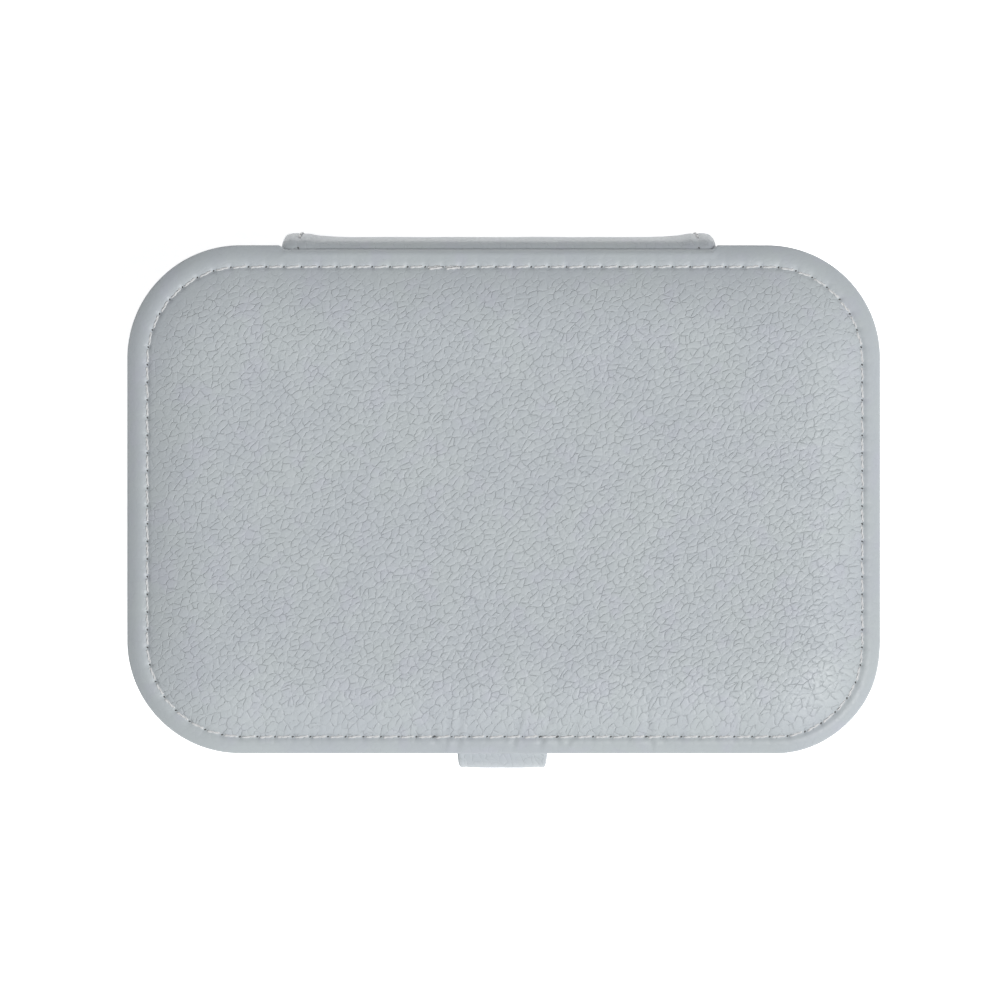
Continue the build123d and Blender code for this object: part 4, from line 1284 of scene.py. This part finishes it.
def pocket_rest(columns, rows):
    """The pocket before its cloth settles: sewn down round three sides, standing off at its mouth."""
    grid = np.zeros((rows, columns, 3))
    for j, y in enumerate(POCKET_LOW[1] + (POCKET_HIGH[1] - POCKET_LOW[1]) * np.linspace(0, 1, rows)):
        half = pocket_half(y) if y > POCKET_HIGH[1] - POCKET_R else POCKET_HIGH[0]
        x = np.linspace(-half, half, columns)
        from_edge = np.minimum(half - np.abs(x), POCKET_HIGH[1] - y)
        stand = (POCKET_HIGH[2] - POCKET_LOW[2] - 0.6) * smooth(from_edge, 0.0, 7.0)
        mouth = 1 - smooth(y, POCKET_LOW[1], POCKET_LOW[1] + 16)
        ripple = np.sin(x * 1.15 + 1.1 * np.sin(x * 0.21)) * 0.55 * mouth * smooth(from_edge, 0.5, 5.0)
        grid[j] = np.column_stack([x, np.full(columns, y), POCKET_HIGH[2] - POCKET_GAP - stand + ripple])
    return grid


SETTLE_FRAMES = 22


def hang_cloth(grid):
    """A cloth piece from a grid of points, held all round its edge, with its simulation set up."""
    rows, columns = grid.shape[:2]
    mesh = bpy.data.meshes.new("pocket_cloth_sim")
    mesh.from_pydata((grid.reshape(-1, 3) * MM).tolist(), [], quads(rows, columns, closed=False))
    hung = bpy.data.objects.new("pocket_cloth_sim", mesh)
    bpy.context.scene.collection.objects.link(hung)
    edge = [j * columns + i for j in range(rows) for i in range(columns)
            if j in (0, rows - 1) or i in (0, columns - 1)]
    hung.vertex_groups.new(name="held").add(edge, 1.0, "ADD")
    cloth = hung.modifiers.new("settle", "CLOTH")
    cloth.settings.vertex_group_mass = "held"
    cloth.settings.quality = 8
    cloth.settings.mass = 0.05
    cloth.settings.shrink_min = -0.1
    cloth.settings.bending_stiffness = 0.15
    cloth.settings.tension_stiffness = 12
    cloth.settings.compression_stiffness = 12
    cloth.collision_settings.use_collision = False
    cloth.settings.effector_weights.gravity = 0.3
    cloth.point_cache.frame_start, cloth.point_cache.frame_end = 1, SETTLE_FRAMES
    return hung


def settle(grid):
    """The pocket after a cloth simulation: the cloth is cut wider than its frame, so it folds between its
    seams. What it moves is kept within bounds, and smoothed once."""
    hung = hang_cloth(grid)
    for number in range(1, SETTLE_FRAMES + 1):
        bpy.context.scene.frame_set(number)
    shown = hung.evaluated_get(bpy.context.evaluated_depsgraph_get())
    moved = (np.array([v.co[:] for v in shown.data.vertices]) / MM).reshape(grid.shape) - grid
    bpy.context.scene.frame_set(1)
    mesh = hung.data
    bpy.data.objects.remove(hung)
    bpy.data.meshes.remove(mesh)
    moved[:, :, 2] = np.clip(moved[:, :, 2], -1.6, 1.6)
    settled = grid + np.clip(moved, -2.5, 2.5)
    beside = settled[1:-1, :-2] + settled[1:-1, 2:] + settled[:-2, 1:-1] + settled[2:, 1:-1]
    settled[1:-1, 1:-1] = settled[1:-1, 1:-1] * 0.5 + beside * 0.125
    settled[:, :, 2] = np.minimum(settled[:, :, 2], POCKET_HIGH[2] - POCKET_GAP)
    return settled


def pocket():
    """The gathered pocket."""
    grid = pocket_rest(150, 44)
    grid = settle(grid)
    thick = np.array([0, 0, 0.45])
    piece = loops_piece("lid_pocket", [np.vstack([row, (row - thick)[::-1]]) for row in grid], POCKET_CLOTH)
    fix(piece, "lid", "pocket_fabric", "pocket_panel")


def pocket_elastic():
    """The crimped elastic in the pocket's mouth, sewn down at both ends."""
    middle_y = POCKET_LOW[1] + 1.9
    section = np.array(rounded_section(-2.5, 2.5, -0.45, 0.45, 0.4, 4, 8))
    across, thick = section[:, 0], section[:, 1]
    stops = np.linspace(ELASTIC_LOW[0] - 1.5, ELASTIC_HIGH[0] + 1.5, 240)
    loops = []
    for x in stops:
        sewn = float(smooth(min(x - stops[0], stops[-1] - x), 0.0, 7.0))
        z = POCKET_HIGH[2] - 0.7 - (POCKET_HIGH[2] - POCKET_LOW[2] - 0.35) * sewn
        z += 0.3 * math.sin(x * 1.15 + 1.1 * math.sin(x * 0.21)) * sewn
        crimp = 0.12 * np.sin(across * 1.1 + x * 2.0)
        height = z + thick * (1 + 0.2 * math.sin(x * 2.3)) + crimp * sewn
        loops.append(np.column_stack([np.full(len(section), x), middle_y + across, height]))
    fix(loops_piece("pocket_mouth_elastic", loops, ELASTIC), "lid", "elastic", "pocket_elastic")


# ---- stage, light and camera ----
FLOOR_HALF = 6.0
FLOOR_Z = -0.05  # just below the base, so that the two faces don't flicker
VIEW_DISTANCE = 650.0  # camera above the lid's rolled edge
VIEW_WIDTH = 212.5  # what it sees there, side to side
WORLD_LIGHT = 0.2
KEY_FROM, KEY_AWAY, KEY_SIZE, KEY_POWER = (0.37, -0.31, 0.87), 3.5, 1.7, 134.0


def stage():
    """A plain white floor."""
    mesh = bpy.data.meshes.new("floor")
    corners = [(x * FLOOR_HALF, y * FLOOR_HALF, FLOOR_Z * MM)
               for x, y in ((-1, -1), (1, -1), (1, 1), (-1, 1))]
    mesh.from_pydata(corners, [], [(0, 1, 2, 3)])
    floor = bpy.data.objects.new("floor", mesh)
    bpy.context.scene.collection.objects.link(floor)
    white = Nodes("floor_white").finish(Base_Color=grey(0.9), Roughness=0.9, Emission_Color=grey(1.0),
                                        Emission_Strength=0.8)
    mesh.materials.append(white)


def key_light():
    """One large soft lamp, from the right and in front."""
    light = bpy.data.lights.new("key", "AREA")
    light.shape = "DISK"
    light.size, light.energy = KEY_SIZE, KEY_POWER
    lamp = bpy.data.objects.new("key", light)
    aim = unit(np.array(KEY_FROM, float))
    lamp.location = aim * KEY_AWAY
    lamp.rotation_mode = "QUATERNION"
    lamp.rotation_quaternion = Vector(aim).to_track_quat("Z", "Y")
    bpy.context.scene.collection.objects.link(lamp)


def light_and_camera():
    """Soft light all round, the lamp, and a camera straight above."""
    scene = bpy.context.scene
    scene.view_settings.view_transform = "Standard"
    world = bpy.data.worlds.new("studio")
    world.use_nodes = True
    sky = world.node_tree.nodes["Background"].inputs
    sky[0].default_value, sky[1].default_value = grey(1.0), WORLD_LIGHT
    scene.world = world
    key_light()
    camera = bpy.data.cameras.new("camera")
    camera.lens = camera.sensor_width * VIEW_DISTANCE / VIEW_WIDTH
    viewer = bpy.data.objects.new("camera", camera)
    viewer.location = (-0.8 * MM, -0.15 * MM, (ROLL_TOP_Z - 1.5 + VIEW_DISTANCE) * MM)
    scene.collection.objects.link(viewer)
    scene.camera = viewer


# ---- build ----
def paint_cad():
    """Finishes for the CAD nodes that stay."""
    finishes = {"board": BOARD, "foam": FOAM, "snap_metal": METAL, "velvet": VELVET, "velvet_foam": VELVET,
                "thread": THREAD, "leather": LEATHER_SMALL, "pocket_fabric": POCKET_CLOTH,
                "elastic": ELASTIC}
    slots = {part["node"]: part["material_slot"] for part in frame["record"]["subparts"]}
    for name, node in frame["nodes"].items():
        for place in node.material_slots:
            place.material = finishes[slots[name]]


paint_cad()
lid_top()
lid_seam()
side_band("lid_band", "lid_side_band", "lid", ROLL_Z, LID_Z, PROUD + 3.0)
side_band("base_band", "base_side_band", "base", BOTTOM_Z, BASE_Z, PROUD + 4.0)
base_bottom()
hinge_strap()
closure_tab()
press_stud()
base_lining()
lid_lining()
plan_pad("base_floor_velvet", "base_floor_pad", "base", True, 1.2)
plan_pad("lid_ceiling_pad", "lid_ceiling_panel", "lid", False, 1.6)
long_board("long_divider_velvet", "long_divider", 0, 0.8, (-LOOSE_X, LOOSE_X))
long_board("ring_bay_left_velvet", "ring_bay_divider_left", 1, 0.8)
long_board("ring_bay_right_velvet", "ring_bay_divider_right", 1, 0.8)
for roll in range(1, 6):
    ring_roll(roll)
loose_divider("left")
loose_divider("right")
necklace_holder()
pocket()
pocket_elastic()
stage()
light_and_camera()
